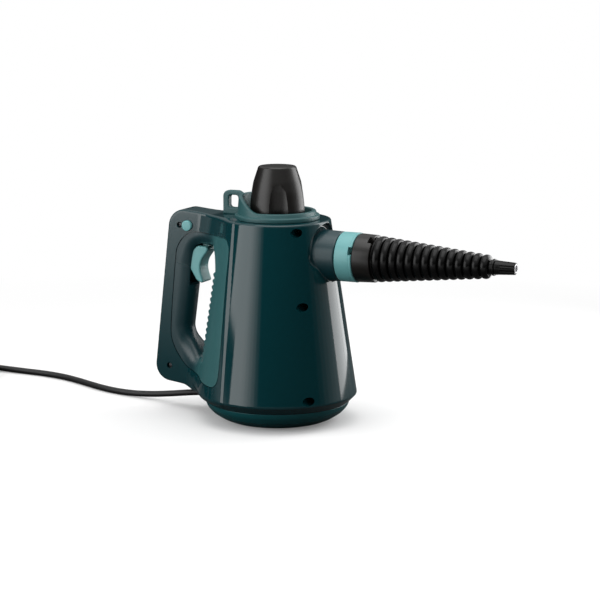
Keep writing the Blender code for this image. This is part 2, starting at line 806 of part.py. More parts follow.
def hole_lip(share):
    """How far the hole's rim opens out, more on the grip side than on the body side."""

    def grow(normal):
        grip = max(0, -normal.x) + max(0, -normal.y)
        return (HOLE_LIP + HOLE_GRIP_LIP * min(1, grip)) * share

    return grow


def hole_cutter(name, outline, extra):
    """The finger hole with its flared rims, made wider all round by extra."""
    half = HANDLE_HALF_WIDTH
    side = [(half - HOLE_LIP_DEPTH, 0)]
    for k in range(1, OUTER_STEPS):
        angle = math.pi / 2 * k / (OUTER_STEPS - 1)
        side.append((half - HOLE_LIP_DEPTH * (1 - math.sin(angle)), 1 - math.cos(angle)))
    side.append((half + OVERRUN, 1))
    stations = []
    for y, share in [(-y, share) for y, share in reversed(side)] + side:
        lip = hole_lip(share)
        stations.append((y, lambda normal, lip=lip: lip(normal) + extra))
    return slab(name, outline, stations)


def hole_front_x(z):
    """The body side wall of the finger hole at a height."""
    share = (z - HOLE_BOTTOM_Z) / (HOLE_FRONT_BELLY_Z - HOLE_BOTTOM_Z)
    return HOLE_FRONT_FOOT_X + (HOLE_FRONT_BELLY_X - HOLE_FRONT_FOOT_X) * share


def hole_teeth():
    """The grip teeth on the body side of the hole, as one comb of separate ridges."""
    shape = bmesh.new()
    half = HANDLE_HALF_WIDTH - HANDLE_ROUNDING
    for i in range(TOOTH_COUNT):
        z = TOOTH_TOP_Z - TOOTH_PITCH * i
        reach = TOOTH_PITCH * TOOTH_HALF_SHARE
        rings = []
        for y in (-half, half):
            corners = [
                (hole_front_x(z) + TOOTH_SINK, z + reach),
                (hole_front_x(z) - TOOTH_HEIGHT, z),
                (hole_front_x(z) + TOOTH_SINK, z - reach),
            ]
            rings.append([shape.verts.new((x, y, height)) for x, height in corners])
        joined_rings(shape, rings)
        shape.faces.new(rings[0])
        shape.faces.new(rings[1])
    return solid("hole_teeth", shape)


def screw_places():
    """Each housing screw as x, z, boss radius and counterbore radius."""
    cone = [(body_radius(z) * share, z) for share, z in zip(CONE_SCREW_SHARES, CONE_SCREW_ZS)]
    handle = zip(HANDLE_SCREW_XS, HANDLE_SCREW_ZS)
    found = [(x, z, CONE_BOSS_RADIUS, CONE_COUNTERBORE_RADIUS) for x, z in cone]
    found += [(x, z, HANDLE_BOSS_RADIUS, HANDLE_COUNTERBORE_RADIUS) for x, z in handle]
    return found


def pivot_half_span():
    return HANDLE_HALF_WIDTH - PIN_BLIND_WALL - SEAT


def housing():
    """The whole housing before it is split: cone, handle, collar, hollow inside and bosses."""
    outer = cone_solid("outer_cone", 0, BODY_BASE_Z, BODY_TOP_Z)
    handle = slab("outer_handle", handle_outline(), arc_stations(HANDLE_HALF_WIDTH, HANDLE_ROUNDING))
    joined(handle, [handle_blend("outer_blend", handle_outline(), 0)], HOUSING_SOLVER)
    carve(handle, [hole_cutter("finger_hole", hole_outline(), 0)], solver=HOUSING_SOLVER)
    teeth = hole_teeth()
    collar = turned(
        "collar",
        [(0, 0), (COLLAR_ROOT_RADIUS, 0), (COLLAR_ROOT_RADIUS, COLLAR_ROOT_X)]
        + [(COLLAR_END_RADIUS, COLLAR_END_X), (0, COLLAR_END_X)],
        axis="X",
        count=MIDDLE_ROUND,
        at=(0, 0, NOZZLE_Z),
    )
    joined(outer, [handle, collar, teeth], HOUSING_SOLVER)
    inner = cone_solid("inner_cone", WALL, BODY_BASE_Z - OVERRUN, BODY_TOP_Z - WALL)
    inner_rounding = HANDLE_ROUNDING - WALL
    half = HANDLE_HALF_WIDTH - WALL
    stations = [
        (y, grow - WALL) for y, grow in arc_stations(half, inner_rounding, steps=2)
    ]
    inner_handle = slab("inner_handle", handle_outline(INNER_STEPS), stations)
    inner_blend = handle_blend("inner_blend", handle_outline(INNER_STEPS), WALL)
    joined(inner_handle, [inner_blend], HOUSING_SOLVER)
    wall = hole_cutter("hole_wall", hole_outline(INNER_STEPS), WALL)
    carve(inner_handle, [wall], solver=HOUSING_SOLVER)
    bore = cutter(
        "collar_bore",
        rod(COLLAR_BORE_RADIUS, 0, COLLAR_END_X + OVERRUN),
        axis="X",
        at=(0, 0, NOZZLE_Z),
    )
    joined(inner, [inner_handle, bore], HOUSING_SOLVER)
    carve(inner, housing_bosses(), solver=HOUSING_SOLVER)
    carve(outer, [inner], solver=HOUSING_SOLVER)
    carve(outer, housing_cuts(), solver=HOUSING_SOLVER)
    return outer


def housing_bosses():
    """What is left standing inside the housing: screw bosses, pivot ears and the boiler shelf."""
    found = []
    far = BODY_SKIRT_RADIUS
    for i, (x, z, boss, _) in enumerate(screw_places()):
        post = rod(boss, -far, far)
        found.append(turned(f"boss_{i}", post, axis="Y", count=BOSS_ROUND, at=(x, 0, z)))
    for side in (-1, 1):
        low, high = sorted((side * PIN_EARS_GAP, side * HANDLE_HALF_WIDTH))
        ear = turned(
            f"ear_{side}",
            rod(PIN_EARS_RADIUS, low, high),
            axis="Y",
            count=SMALL_ROUND,
            at=(PIVOT_X, 0, PIVOT_Z),
        )
        found.append(ear)
    shelf_top = BOILER_JOINT_Z - BOILER_FLANGE_THICKNESS - SEAT
    shelf_low = shelf_top - SHELF_THICKNESS
    shelf = tube_profile(
        BOILER_RADIUS + SHELF_CLEARANCE, body_radius(shelf_top) - WALL / 2, shelf_low, shelf_top
    )
    found.append(cutter("shelf", shelf, count=LARGE_ROUND))
    bore = ROD_RADIUS + STEM_SLIDING_GAP
    guide = tube_profile(bore, HANDLE_HALF_WIDTH, ROD_GUIDE_X - ROD_GUIDE_THICKNESS, ROD_GUIDE_X)
    at = (0, 0, PIVOT_Z + rod_height())
    found.append(turned("rod_guide", guide, axis="X", count=SMALL_ROUND, at=at))
    return found


def rod_height():
    """How far the push rod runs above the trigger's pivot."""
    return ARM_HEIGHT - ROD_RADIUS


def housing_cuts():
    """Everything that is cut through the housing's finished walls."""
    found = []
    far = BODY_SKIRT_RADIUS + OVERRUN
    seat_y = SCREW_GRIP - SCREW_LENGTH
    bore = SCREW_SHANK_RADIUS + SEAT
    for i, (x, z, _, counterbore) in enumerate(screw_places()):
        profile = [
            (0, -far),
            (counterbore, -far),
            (counterbore, seat_y),
            (bore, seat_y),
            (bore, SCREW_GRIP + SEAT),
            (0, SCREW_GRIP + SEAT),
        ]
        found.append(cutter(f"screw_hole_{i}", profile, axis="Y", count=BOSS_ROUND, at=(x, 0, z)))
    half_pin = pivot_half_span() + SEAT
    found.append(
        cutter(
            "pin_hole",
            rod(PIN_RADIUS + SEAT, -half_pin, half_pin),
            axis="Y",
            count=SMALL_ROUND,
            at=(PIVOT_X, 0, PIVOT_Z),
        )
    )
    found.append(
        cutter(
            "lock_hole",
            rod(LOCK_HEAD_RADIUS + SEAT, -far, far),
            axis="Y",
            count=SMALL_ROUND,
            at=(LOCK_X, 0, LOCK_Z),
        )
    )
    mouth = rod(BODY_MOUTH_RADIUS, BODY_TOP_Z - OVERRUN, BODY_TOP_Z + OVERRUN)
    found.append(cutter("mouth", mouth, count=LARGE_ROUND))
    half_slot = TRIGGER_HALF_WIDTH + RUN
    low = (TRIGGER_SLOT_REAR_X, -half_slot, TRIGGER_SLOT_FOOT_Z)
    high = (TRIGGER_SLOT_FRONT_X, half_slot, HOLE_TOP_Z + WALL + SEAT)
    found.append(block("trigger_slot", low, high))
    return found


def make_shells():
    whole = housing()
    far = BODY_SKIRT_RADIUS - HANDLE_TOE_X
    gap = SEAT / 2
    for name, low_y, high_y in (("shell_right", -gap, far), ("shell_left", -far, gap)):
        half = whole.copy()
        half.data = whole.data.copy()
        half.name = name
        bpy.context.scene.collection.objects.link(half)
        side = block("side", (-far, low_y, -far), (far, high_y, BODY_TOP_Z + far))
        carve(half, [side], solver=HOUSING_SOLVER)
        half.data.materials.clear()
        half.data.materials.append(material("dark_teal"))
        without_flat_seams(half)
    bpy.data.objects.remove(whole)


def make_screws():
    seat_y = SCREW_GRIP - SCREW_LENGTH
    for i, (x, z, _, counterbore) in enumerate(screw_places()):
        head = counterbore - SCREW_HEAD_SLACK
        top = -SCREW_HEAD_HEIGHT - SEAT
        profile = [
            (0, top + SCREW_DRIVE_DEPTH),
            (SCREW_DRIVE_RADIUS, top + SCREW_DRIVE_DEPTH),
            (SCREW_DRIVE_RADIUS, top),
            (head * SCREW_CROWN_SHARE, top),
            (head, top + SCREW_HEAD_HEIGHT / 2),
            (head, -SEAT),
            (SCREW_SHANK_RADIUS, -SEAT),
            (SCREW_SHANK_RADIUS, SCREW_LENGTH - SCREW_SHANK_RADIUS),
            (0, SCREW_LENGTH),
        ]
        name = f"housing_screw_{i + 1}"
        turned(name, profile, "steel", axis="Y", count=TINY_ROUND, at=(x, seat_y, z))


def cover_outer():
    return [
        (COVER_RIM_RADIUS, COVER_RIM_Z),
        (COVER_BELLY_RADIUS, COVER_BELLY_Z),
        (COVER_CHEEK_RADIUS, COVER_CHEEK_Z),
        (COVER_SHOULDER_RADIUS, COVER_SHOULDER_Z),
        (BODY_BASE_RADIUS, BODY_BASE_Z - SEAT),
    ]


def make_base():
    tongue = BODY_BASE_RADIUS - WALL - SEAT
    inner = [
        (tongue, BODY_BASE_Z - SEAT),
        (tongue, BODY_BASE_Z + TONGUE_HEIGHT),
        (tongue - TONGUE_THICKNESS, BODY_BASE_Z + TONGUE_HEIGHT),
        (tongue - TONGUE_THICKNESS, BODY_BASE_Z - SEAT),
        (COVER_SHOULDER_RADIUS - WALL, COVER_SHOULDER_Z),
        (COVER_CHEEK_RADIUS - WALL, COVER_CHEEK_Z + WALL / 2),
        (COVER_BELLY_RADIUS - WALL, COVER_FLOOR_Z),
        (0, COVER_FLOOR_Z),
        (0, PAD_HEIGHT + SEAT),
        (PAD_RADIUS + SEAT, PAD_HEIGHT + SEAT),
        (PAD_RADIUS + SEAT, COVER_RIM_Z),
    ]
    cover = turned("base_cover", cover_outer() + inner, "dark_teal", count=LARGE_ROUND)
    door = cutter(
        "gland_hole",
        rod(GLAND_BODY_RADIUS + SEAT, GLAND_OUTER_X - OVERRUN, GLAND_INNER_X + OVERRUN / 2),
        axis="X",
        count=SMALL_ROUND,
        at=(0, CORD_Y, CORD_Z),
    )
    post_top = COVER_FLOOR_Z + BLOCK_POST_HEIGHT
    post = turned(
        "block_post",
        rod(BLOCK_POST_RADIUS, COVER_FLOOR_Z - WALL / 2, post_top),
        count=SMALL_ROUND,
        at=(BLOCK_X, BLOCK_Y, 0),
    )
    joined(cover, [post])
    carve(cover, [door])
    turned("foot_pad", rod(PAD_RADIUS, 0, PAD_HEIGHT), "rubber", count=LARGE_ROUND)


def ring_height(angle):
    """The top ring's crest height at an angle, low in front and raised at the rear."""
    rear = max(0, (-math.cos(angle) - RING_RISE_START_SHARE) / (1 - RING_RISE_START_SHARE))
    eased = rear * rear * (3 - 2 * rear)
    return RING_FRONT_Z + (RING_REAR_Z - RING_FRONT_Z) * eased


def make_top_ring():
    low = BODY_TOP_Z + SEAT
    skirt_outer = BODY_MOUTH_RADIUS - SEAT
    skirt_inner = skirt_outer - RING_SKIRT_THICKNESS
    skirt_low = BODY_TOP_Z - RING_SKIRT_DEPTH
    shape = bmesh.new()
    rows = []
    for i in range(LARGE_ROUND):
        angle = math.tau * i / LARGE_ROUND
        crest = ring_height(angle)
        profile = [
            (NECK_RADIUS + SEAT, low),
            (skirt_inner, low),
            (skirt_inner, skirt_low),
            (skirt_outer, skirt_low),
            (skirt_outer, low),
            (RING_RADIUS, low),
            (RING_RADIUS, RING_STEP_Z),
            (RING_LEDGE_RADIUS, RING_STEP_Z + SEAT),
            (RING_CREST_RADIUS, crest),
            ((RING_CREST_RADIUS + RING_WELL_RADIUS) / 2, crest + SEAT),
            (RING_WELL_RADIUS, crest),
            (RING_WELL_FOOT_RADIUS, RING_WELL_Z),
            (NECK_RADIUS + SEAT, RING_WELL_Z),
        ]
        row = []
        for radius, height in profile:
            place = along("Z", radius * math.cos(angle), radius * math.sin(angle), height)
            row.append(shape.verts.new(place))
        rows.append(row)
    joined_rings(shape, rows, loop=True)
    ring = solid("top_ring", shape, "matt_teal")
    smooth(ring)
    front = -RING_CREST_RADIUS + EYELET_ROUNDING / 2
    outline = rounded(
        [
            (front, EYELET_BOTTOM_Z, 0),
            (front, EYELET_TOP_Z - EYELET_ROUNDING, 0),
            (-RING_RADIUS, EYELET_TOP_Z, EYELET_ROUNDING),
            (EYELET_REAR_X, EYELET_TOP_Z, EYELET_ROUNDING),
            (EYELET_REAR_X, EYELET_BOTTOM_Z, 0),
        ]
    )
    half = EYELET_HALF_WIDTH
    bevel = EYELET_HALF_WIDTH / 3
    stations = [(-half, -bevel), (bevel - half, 0), (half - bevel, 0), (half, -bevel)]
    loop = slab("eyelet", outline, stations)
    rear = EYELET_REAR_X + EYELET_BAND
    top = EYELET_TOP_Z - EYELET_BAND
    foot = EYELET_BOTTOM_Z + EYELET_BAND
    hole = rounded(
        [
            (rear, foot, EYELET_ROUNDING / 2),
            (EYELET_HOLE_FRONT_X, foot, EYELET_ROUNDING / 2),
            (EYELET_HOLE_FRONT_X, top, EYELET_ROUNDING / 2),
            (rear, top, EYELET_ROUNDING / 2),
        ],
        steps=3,
    )
    carve(loop, [slab("eyelet_hole", hole, [(-OVERRUN, 0), (OVERRUN, 0)])])
    joined(ring, [loop])


def boiler_bolts_cutter(low, high):
    found = []
    for i in range(BOLT_COUNT):
        angle = math.tau * (i + 0.5) / BOLT_COUNT
        at = (BOLT_CIRCLE_RADIUS * math.cos(angle), BOLT_CIRCLE_RADIUS * math.sin(angle), 0)
        hole = rod(BOLT_SHANK_RADIUS + SEAT, low, high)
        found.append(cutter(f"bolt_hole_{i}", hole, count=TINY_ROUND, at=at))
    return found


def make_boiler():
    radius = BOILER_RADIUS
    bore = radius - BOILER_WALL
    joint = BOILER_JOINT_Z
    flange = BOILER_FLANGE_RADIUS
    thick = BOILER_FLANGE_THICKNESS
    lower = [
        (0, BOILER_BOTTOM_Z),
        (radius - BOILER_ROUNDING, BOILER_BOTTOM_Z),
        (radius, BOILER_BOTTOM_Z + BOILER_ROUNDING),
        (radius, joint - thick),
        (flange, joint - thick),
        (flange, joint),
        (bore, joint),
        (bore, BOILER_BOTTOM_Z + BOILER_BOTTOM_THICKNESS),
        (0, BOILER_BOTTOM_Z + BOILER_BOTTOM_THICKNESS),
    ]
    pot = turned("boiler_lower", lower, "aluminium")
    carve(pot, boiler_bolts_cutter(joint - thick - OVERRUN, joint + OVERRUN))
    gasket_low = joint + SEAT
    gasket_high = gasket_low + BOILER_GASKET_THICKNESS
    seal = turned("boiler_gasket", tube_profile(bore, flange, gasket_low, gasket_high), "silicone")
    carve(seal, boiler_bolts_cutter(joint - OVERRUN, joint + OVERRUN))
    base = gasket_high + SEAT
    top = BOILER_TOP_Z
    upper = [
        (BOILER_PORT_RADIUS, top - BOILER_WALL),
        (bore - BOILER_ROUNDING, top - BOILER_WALL),
        (bore, top - BOILER_WALL - BOILER_ROUNDING),
        (bore, base),
        (flange, base),
        (flange, base + thick),
        (radius, base + thick),
        (radius, top - BOILER_ROUNDING),
        (radius - BOILER_ROUNDING, top),
        (BOILER_PORT_RADIUS, top),
    ]
    dome = turned("boiler_upper", upper, "aluminium")
    cuts = boiler_bolts_cutter(base - OVERRUN, base + thick + OVERRUN)
    port = rod(INLET_RADIUS / 2, top - OVERRUN, top + OVERRUN)
    cuts.append(cutter("steam_port", port, count=TINY_ROUND, at=(INLET_X, 0, 0)))
    carve(dome, cuts)
    for i in range(BOLT_COUNT):
        angle = math.tau * (i + 0.5) / BOLT_COUNT
        at = (BOLT_CIRCLE_RADIUS * math.cos(angle), BOLT_CIRCLE_RADIUS * math.sin(angle), 0)
        head_low = base + thick + SEAT
        profile = [
            (0, joint - thick),
            (BOLT_SHANK_RADIUS, joint - thick),
            (BOLT_SHANK_RADIUS, head_low),
            (BOLT_HEAD_RADIUS, head_low),
            (BOLT_HEAD_RADIUS, head_low + BOLT_HEAD_HEIGHT),
            (0, head_low + BOLT_HEAD_HEIGHT),
        ]
        turned(f"boiler_bolt_{i + 1}", profile, "steel", count=TINY_ROUND, at=at)
    shelf_low = joint - thick - SEAT - SHELF_THICKNESS
    jacket = tube_profile(
        radius + SEAT,
        radius + SEAT + JACKET_THICKNESS,
        BOILER_BOTTOM_Z + BOILER_ROUNDING,
        shelf_low - SEAT,
    )
    turned("insulation_jacket", jacket, "felt")
    neck = [
        (NECK_BORE_RADIUS, top + SEAT),
        (NECK_FOOT_RADIUS, top + SEAT),
        (NECK_FOOT_RADIUS, top + SEAT + NECK_FOOT_THICKNESS),
        (NECK_RADIUS, top + SEAT + NECK_FOOT_THICKNESS),
        (NECK_RADIUS, BODY_TOP_Z - NECK_FLANGE_THICKNESS),
        (NECK_FLANGE_RADIUS, BODY_TOP_Z - NECK_FLANGE_THICKNESS),
        (NECK_FLANGE_RADIUS, BODY_TOP_Z),
        (NECK_RADIUS, BODY_TOP_Z),
        (NECK_RADIUS, NECK_TOP_Z),
        (NECK_BORE_RADIUS, NECK_TOP_Z),
    ]
    turned("filler_neck", neck, "brass")


def make_cap():
    gasket_low = NECK_TOP_Z + SEAT
    gasket_high = gasket_low + CAP_GASKET_THICKNESS
    ring = tube_profile(PLUG_STEM_RADIUS + SEAT, NECK_RADIUS, gasket_low, gasket_high)
    turned("cap_gasket", ring, "silicone")
    flange_low = gasket_high + SEAT
    flange_high = flange_low + PLUG_FLANGE_THICKNESS
    core_top = CAP_CORE_TOP_Z - SEAT
    stem = [
        (RELIEF_PORT_RADIUS, PLUG_STEM_Z),
        (PLUG_STEM_RADIUS, PLUG_STEM_Z),
        (PLUG_STEM_RADIUS, flange_low),
        (PLUG_FLANGE_RADIUS, flange_low),
        (PLUG_FLANGE_RADIUS, flange_high),
        (CAP_CORE_RADIUS - SEAT, flange_high),
        (CAP_CORE_RADIUS - SEAT, core_top),
        (RELIEF_CHAMBER_RADIUS, core_top),
        (RELIEF_CHAMBER_RADIUS, RELIEF_CHAMBER_Z),
        (RELIEF_PORT_RADIUS, RELIEF_CHAMBER_Z),
    ]
    turned("cap_plug", stem, "nylon")
    outside = [(CAP_BASE_RADIUS, CAP_BASE_Z), *zip(CAP_RADII, CAP_HEIGHTS)]
    inside = [(0, CAP_TOP_Z), (0, CAP_CORE_TOP_Z), (CAP_CORE_RADIUS, CAP_CORE_TOP_Z)]
    inside.append((CAP_CORE_RADIUS, CAP_BASE_Z))
    shell = turned("cap_shell", outside + inside, "cap_black", count=LARGE_ROUND)
    scoop_radius = CAP_SCOOP_RADIUS
    reach = CAP_BASE_RADIUS - CAP_SCOOP_DEPTH + scoop_radius
    scoop = [(scoop_radius, CAP_BASE_Z - OVERRUN), (0, CAP_BASE_Z - OVERRUN), (0, CAP_SCOOP_TOP_Z)]
    cutters = []
    for i in range(CAP_SCOOP_COUNT):
        angle = math.radians(CAP_SCOOP_ANGLE_DEG) + math.tau * i / CAP_SCOOP_COUNT
        at = (reach * math.cos(angle), reach * math.sin(angle), 0)
        cutters.append(cutter(f"scoop_{i}", scoop, count=SMALL_ROUND, at=at))
    carve(shell, cutters)
    head_low = RELIEF_CHAMBER_Z + SEAT
    poppet = [
        (0, RELIEF_CHAMBER_Z - RELIEF_STEM_DROP),
        (RELIEF_STEM_RADIUS, RELIEF_CHAMBER_Z - RELIEF_STEM_DROP),
        (RELIEF_STEM_RADIUS, head_low),
        (RELIEF_HEAD_RADIUS, head_low),
        (RELIEF_HEAD_RADIUS, head_low + RELIEF_HEAD_HEIGHT),
        (0, head_low + RELIEF_HEAD_HEIGHT),
    ]
    turned("relief_poppet", poppet, "steel", count=SMALL_ROUND)
    half_wire = RELIEF_WIRE / 2
    spring_low = head_low + RELIEF_HEAD_HEIGHT + RELIEF_LIFT + SEAT + half_wire
    spring_high = CAP_CORE_TOP_Z - SEAT - half_wire
    radius = RELIEF_CHAMBER_RADIUS - SEAT - half_wire
    pitch = (spring_high - spring_low) / RELIEF_COILS
    coils = helix(radius, pitch, RELIEF_COILS, spring_low, "Z")
    wire("relief_spring", coils, half_wire, "steel", resolution=0)


def make_trigger():
    half = TRIGGER_HALF_WIDTH
    face = [
        (TRIGGER_HORN_X, TRIGGER_HORN_Z, TRIGGER_ROUNDING),
        (TRIGGER_FACE_X, TRIGGER_FACE_Z, 2 * HOLE_GRIP_RADIUS),
        (TRIGGER_TIP_X, TRIGGER_TIP_Z, TRIGGER_ROUNDING),
        (TRIGGER_BACK_FOOT_X, TRIGGER_BACK_FOOT_Z, 2 * TRIGGER_ROUNDING),
        (TRIGGER_BACK_X, TRIGGER_BACK_Z, 2 * TRIGGER_ROUNDING),
        (TRIGGER_BACK_X, TRIGGER_TOP_Z, 2 * TRIGGER_ROUNDING),
        (TRIGGER_HORN_X - TRIGGER_ROUNDING, TRIGGER_TOP_Z, 2 * TRIGGER_ROUNDING),
    ]
    outline = [(x - PIVOT_X, z - PIVOT_Z) for x, z in rounded(face)]
    bevel = TRIGGER_ROUNDING
    stations = [(-half, -bevel), (bevel - half, 0), (half - bevel, 0), (half, -bevel)]
    at = (PIVOT_X, 0, PIVOT_Z)
    lever = slab("trigger", outline, stations, "turquoise", at=at)
    boss = turned(
        "pivot_boss",
        rod(PIVOT_BOSS_RADIUS, -ARM_HALF_WIDTH, ARM_HALF_WIDTH),
        axis="Y",
        count=SMALL_ROUND,
        at=at,
    )
    front = ARM_REACH
    rear = ARM_REACH - 2 * ARM_HALF_THICKNESS
    web = TRIGGER_TOP_Z - 2 * TRIGGER_ROUNDING - PIVOT_Z
    arm = block("arm", (rear, -ARM_HALF_WIDTH, web), (front, ARM_HALF_WIDTH, ARM_HEIGHT))
    arm.location = at
    joined(lever, [boss, arm])
    hole = cutter(
        "pivot_hole",
        rod(PIN_RADIUS + SEAT, -half, half),
        axis="Y",
        count=SMALL_ROUND,
        at=at,
    )
    carve(lever, [hole])
    span = pivot_half_span()
    turned("trigger_pin", rod(PIN_RADIUS, -span, span), "steel", axis="Y", count=SMALL_ROUND, at=at)
    half_wire = TORSION_WIRE / 2
    radius = PIN_RADIUS + SEAT + half_wire + SEAT
    start = ARM_HALF_WIDTH + SEAT + half_wire + TORSION_SLACK / 2
    room = PIN_EARS_GAP - SEAT - half_wire - start - TORSION_SLACK / 2
    coils = helix(radius, room / TORSION_COILS, TORSION_COILS, start, "Y")
    leg = coils[-1] + Vector((0, 0, PIN_EARS_RADIUS))
    wire("trigger_spring", [*coils, leg], half_wire, "steel", resolution=0, at=at)


def make_lock():
    outer = HANDLE_HALF_WIDTH
    head = LOCK_HEAD_RADIUS
    edge = LOCK_ROUNDING
    shaft = LOCK_SHAFT_RADIUS
    inner = outer - LOCK_HEAD_DEPTH
    profile = [
        (0, -outer - LOCK_PROUD),
        (head - edge, -outer - LOCK_PROUD),
        (head, -outer - LOCK_PROUD + edge),
        (head, -inner),
        (shaft, -inner),
        (shaft, inner),
        (head, inner),
        (head, outer - edge),
        (head - edge, outer),
        (0, outer),
    ]
    turned("lock_button", profile, "turquoise", axis="Y", count=SMALL_ROUND, at=(LOCK_X, 0, LOCK_Z))


def make_valve():
    z = PIVOT_Z + rod_height()
    at = (0, 0, z)
    rear = VALVE_REAR_X
    bore = STEM_RADIUS + STEM_SLIDING_GAP
    body = [
        (0, VALVE_FRONT_X),
        (VALVE_RADIUS, VALVE_FRONT_X),
        (VALVE_RADIUS, rear),
        (bore, rear),
        (bore, rear + VALVE_BORE_DEPTH),
        (0, rear + VALVE_BORE_DEPTH),
    ]
    turned("valve_body", body, "brass", axis="X", count=SMALL_ROUND, at=at)
    arm_face = PIVOT_X + ARM_REACH + RUN
    push = rod(ROD_RADIUS, arm_face, ROD_FRONT_X)
    turned("push_rod", push, "nylon", axis="X", count=SMALL_ROUND, at=at)
    travel = ARM_HEIGHT * math.radians(TRIGGER_TRAVEL_DEG)
    stem_tip = rear + VALVE_BORE_DEPTH - travel - SEAT
    stem = rod(STEM_RADIUS, ROD_FRONT_X + SEAT, stem_tip)
    turned("valve_stem", stem, "brass", axis="X", count=TINY_ROUND, at=at)
    half_wire = VALVE_SPRING_WIRE / 2
    radius = STEM_RADIUS + STEM_SLIDING_GAP + half_wire + SEAT
    pitch = (VALVE_SPRING_LENGTH - VALVE_SPRING_WIRE) / VALVE_SPRING_COILS
    start = rear - SEAT - VALVE_SPRING_LENGTH + half_wire
    coils = helix(radius, pitch, VALVE_SPRING_COILS, start, "X")
    wire("valve_spring", coils, half_wire, "steel", resolution=0, at=at)
    low = BOILER_TOP_Z + SEAT
    high = z - VALVE_RADIUS - SEAT
    pipe = tube_profile(INLET_RADIUS / 2, INLET_RADIUS, low, high)
    turned("steam_inlet", pipe, "brass", count=TINY_ROUND, at=(INLET_X, 0, 0))
    clear = NECK_RADIUS + 2 * PIPE_RADIUS
    start_x = VALVE_FRONT_X - VALVE_RADIUS / 2
    out_y = VALVE_RADIUS + SEAT
    nipple_x = SOCKET_REAR_X - SOCKET_NIPPLE_LENGTH - 2 * SEAT
    step = 2 * PIPE_RADIUS
    route = [
        (start_x, out_y, z),
        (start_x, out_y + step, z),
        (start_x + step, clear, z - PIPE_RADIUS / 2),
        (0, clear + step, z - 2 * PIPE_RADIUS),
        (clear * PIPE_BEND_X_SHARE, clear * PIPE_BEND_Y_SHARE, NOZZLE_Z + step),
        (nipple_x - 3 * step, step, NOZZLE_Z),
        (nipple_x - step, 0, NOZZLE_Z),
        (nipple_x, 0, NOZZLE_Z),
    ]
    wire("steam_pipe", smooth_route(route, 2 * PIPE_RADIUS), PIPE_RADIUS, "brass")


def make_socket():
    at = (0, 0, NOZZLE_Z)
    outer = COLLAR_BORE_RADIUS - SEAT
    socket = [
        (0, SOCKET_REAR_X - SOCKET_NIPPLE_LENGTH),
        (SOCKET_NIPPLE_RADIUS, SOCKET_REAR_X - SOCKET_NIPPLE_LENGTH),
        (SOCKET_NIPPLE_RADIUS, SOCKET_REAR_X),
        (outer, SOCKET_REAR_X),
        (outer, SOCKET_FRONT_X),
        (outer - SOCKET_WALL, SOCKET_FRONT_X),
        (outer - SOCKET_WALL, SOCKET_REAR_X + SOCKET_WALL),
        (0, SOCKET_REAR_X + SOCKET_WALL),
    ]
    turned("nozzle_socket", socket, "nylon", axis="X", at=at)
    rear = SOCKET_FRONT_X + SEAT
    ring = [
        (NOZZLE_RING_BORE_RADIUS, rear),
        (outer, rear),
        (outer, COLLAR_END_X + SEAT),
        (COLLAR_END_RADIUS, COLLAR_END_X + SEAT),
        (COLLAR_END_RADIUS, NOZZLE_RING_FRONT_X),
        (NOZZLE_RING_BORE_RADIUS, NOZZLE_RING_FRONT_X),
    ]
    made = turned("nozzle_ring", ring, "turquoise", axis="X", at=at)
    low = (NOZZLE_RING_FRONT_X - NOTCH_DEPTH, -COLLAR_END_RADIUS - OVERRUN, NOZZLE_Z - NOTCH_WIDTH / 2)
    high = (
        NOZZLE_RING_FRONT_X + OVERRUN,
        -COLLAR_END_RADIUS + NOTCH_SINK,
        NOZZLE_Z + NOTCH_WIDTH / 2,
    )
    carve(made, [block("ring_notch", low, high)])


def rib_radius(i):
    return RIB_FIRST_RADIUS + (RIB_LAST_RADIUS - RIB_FIRST_RADIUS) * i / (RIB_COUNT - 1)


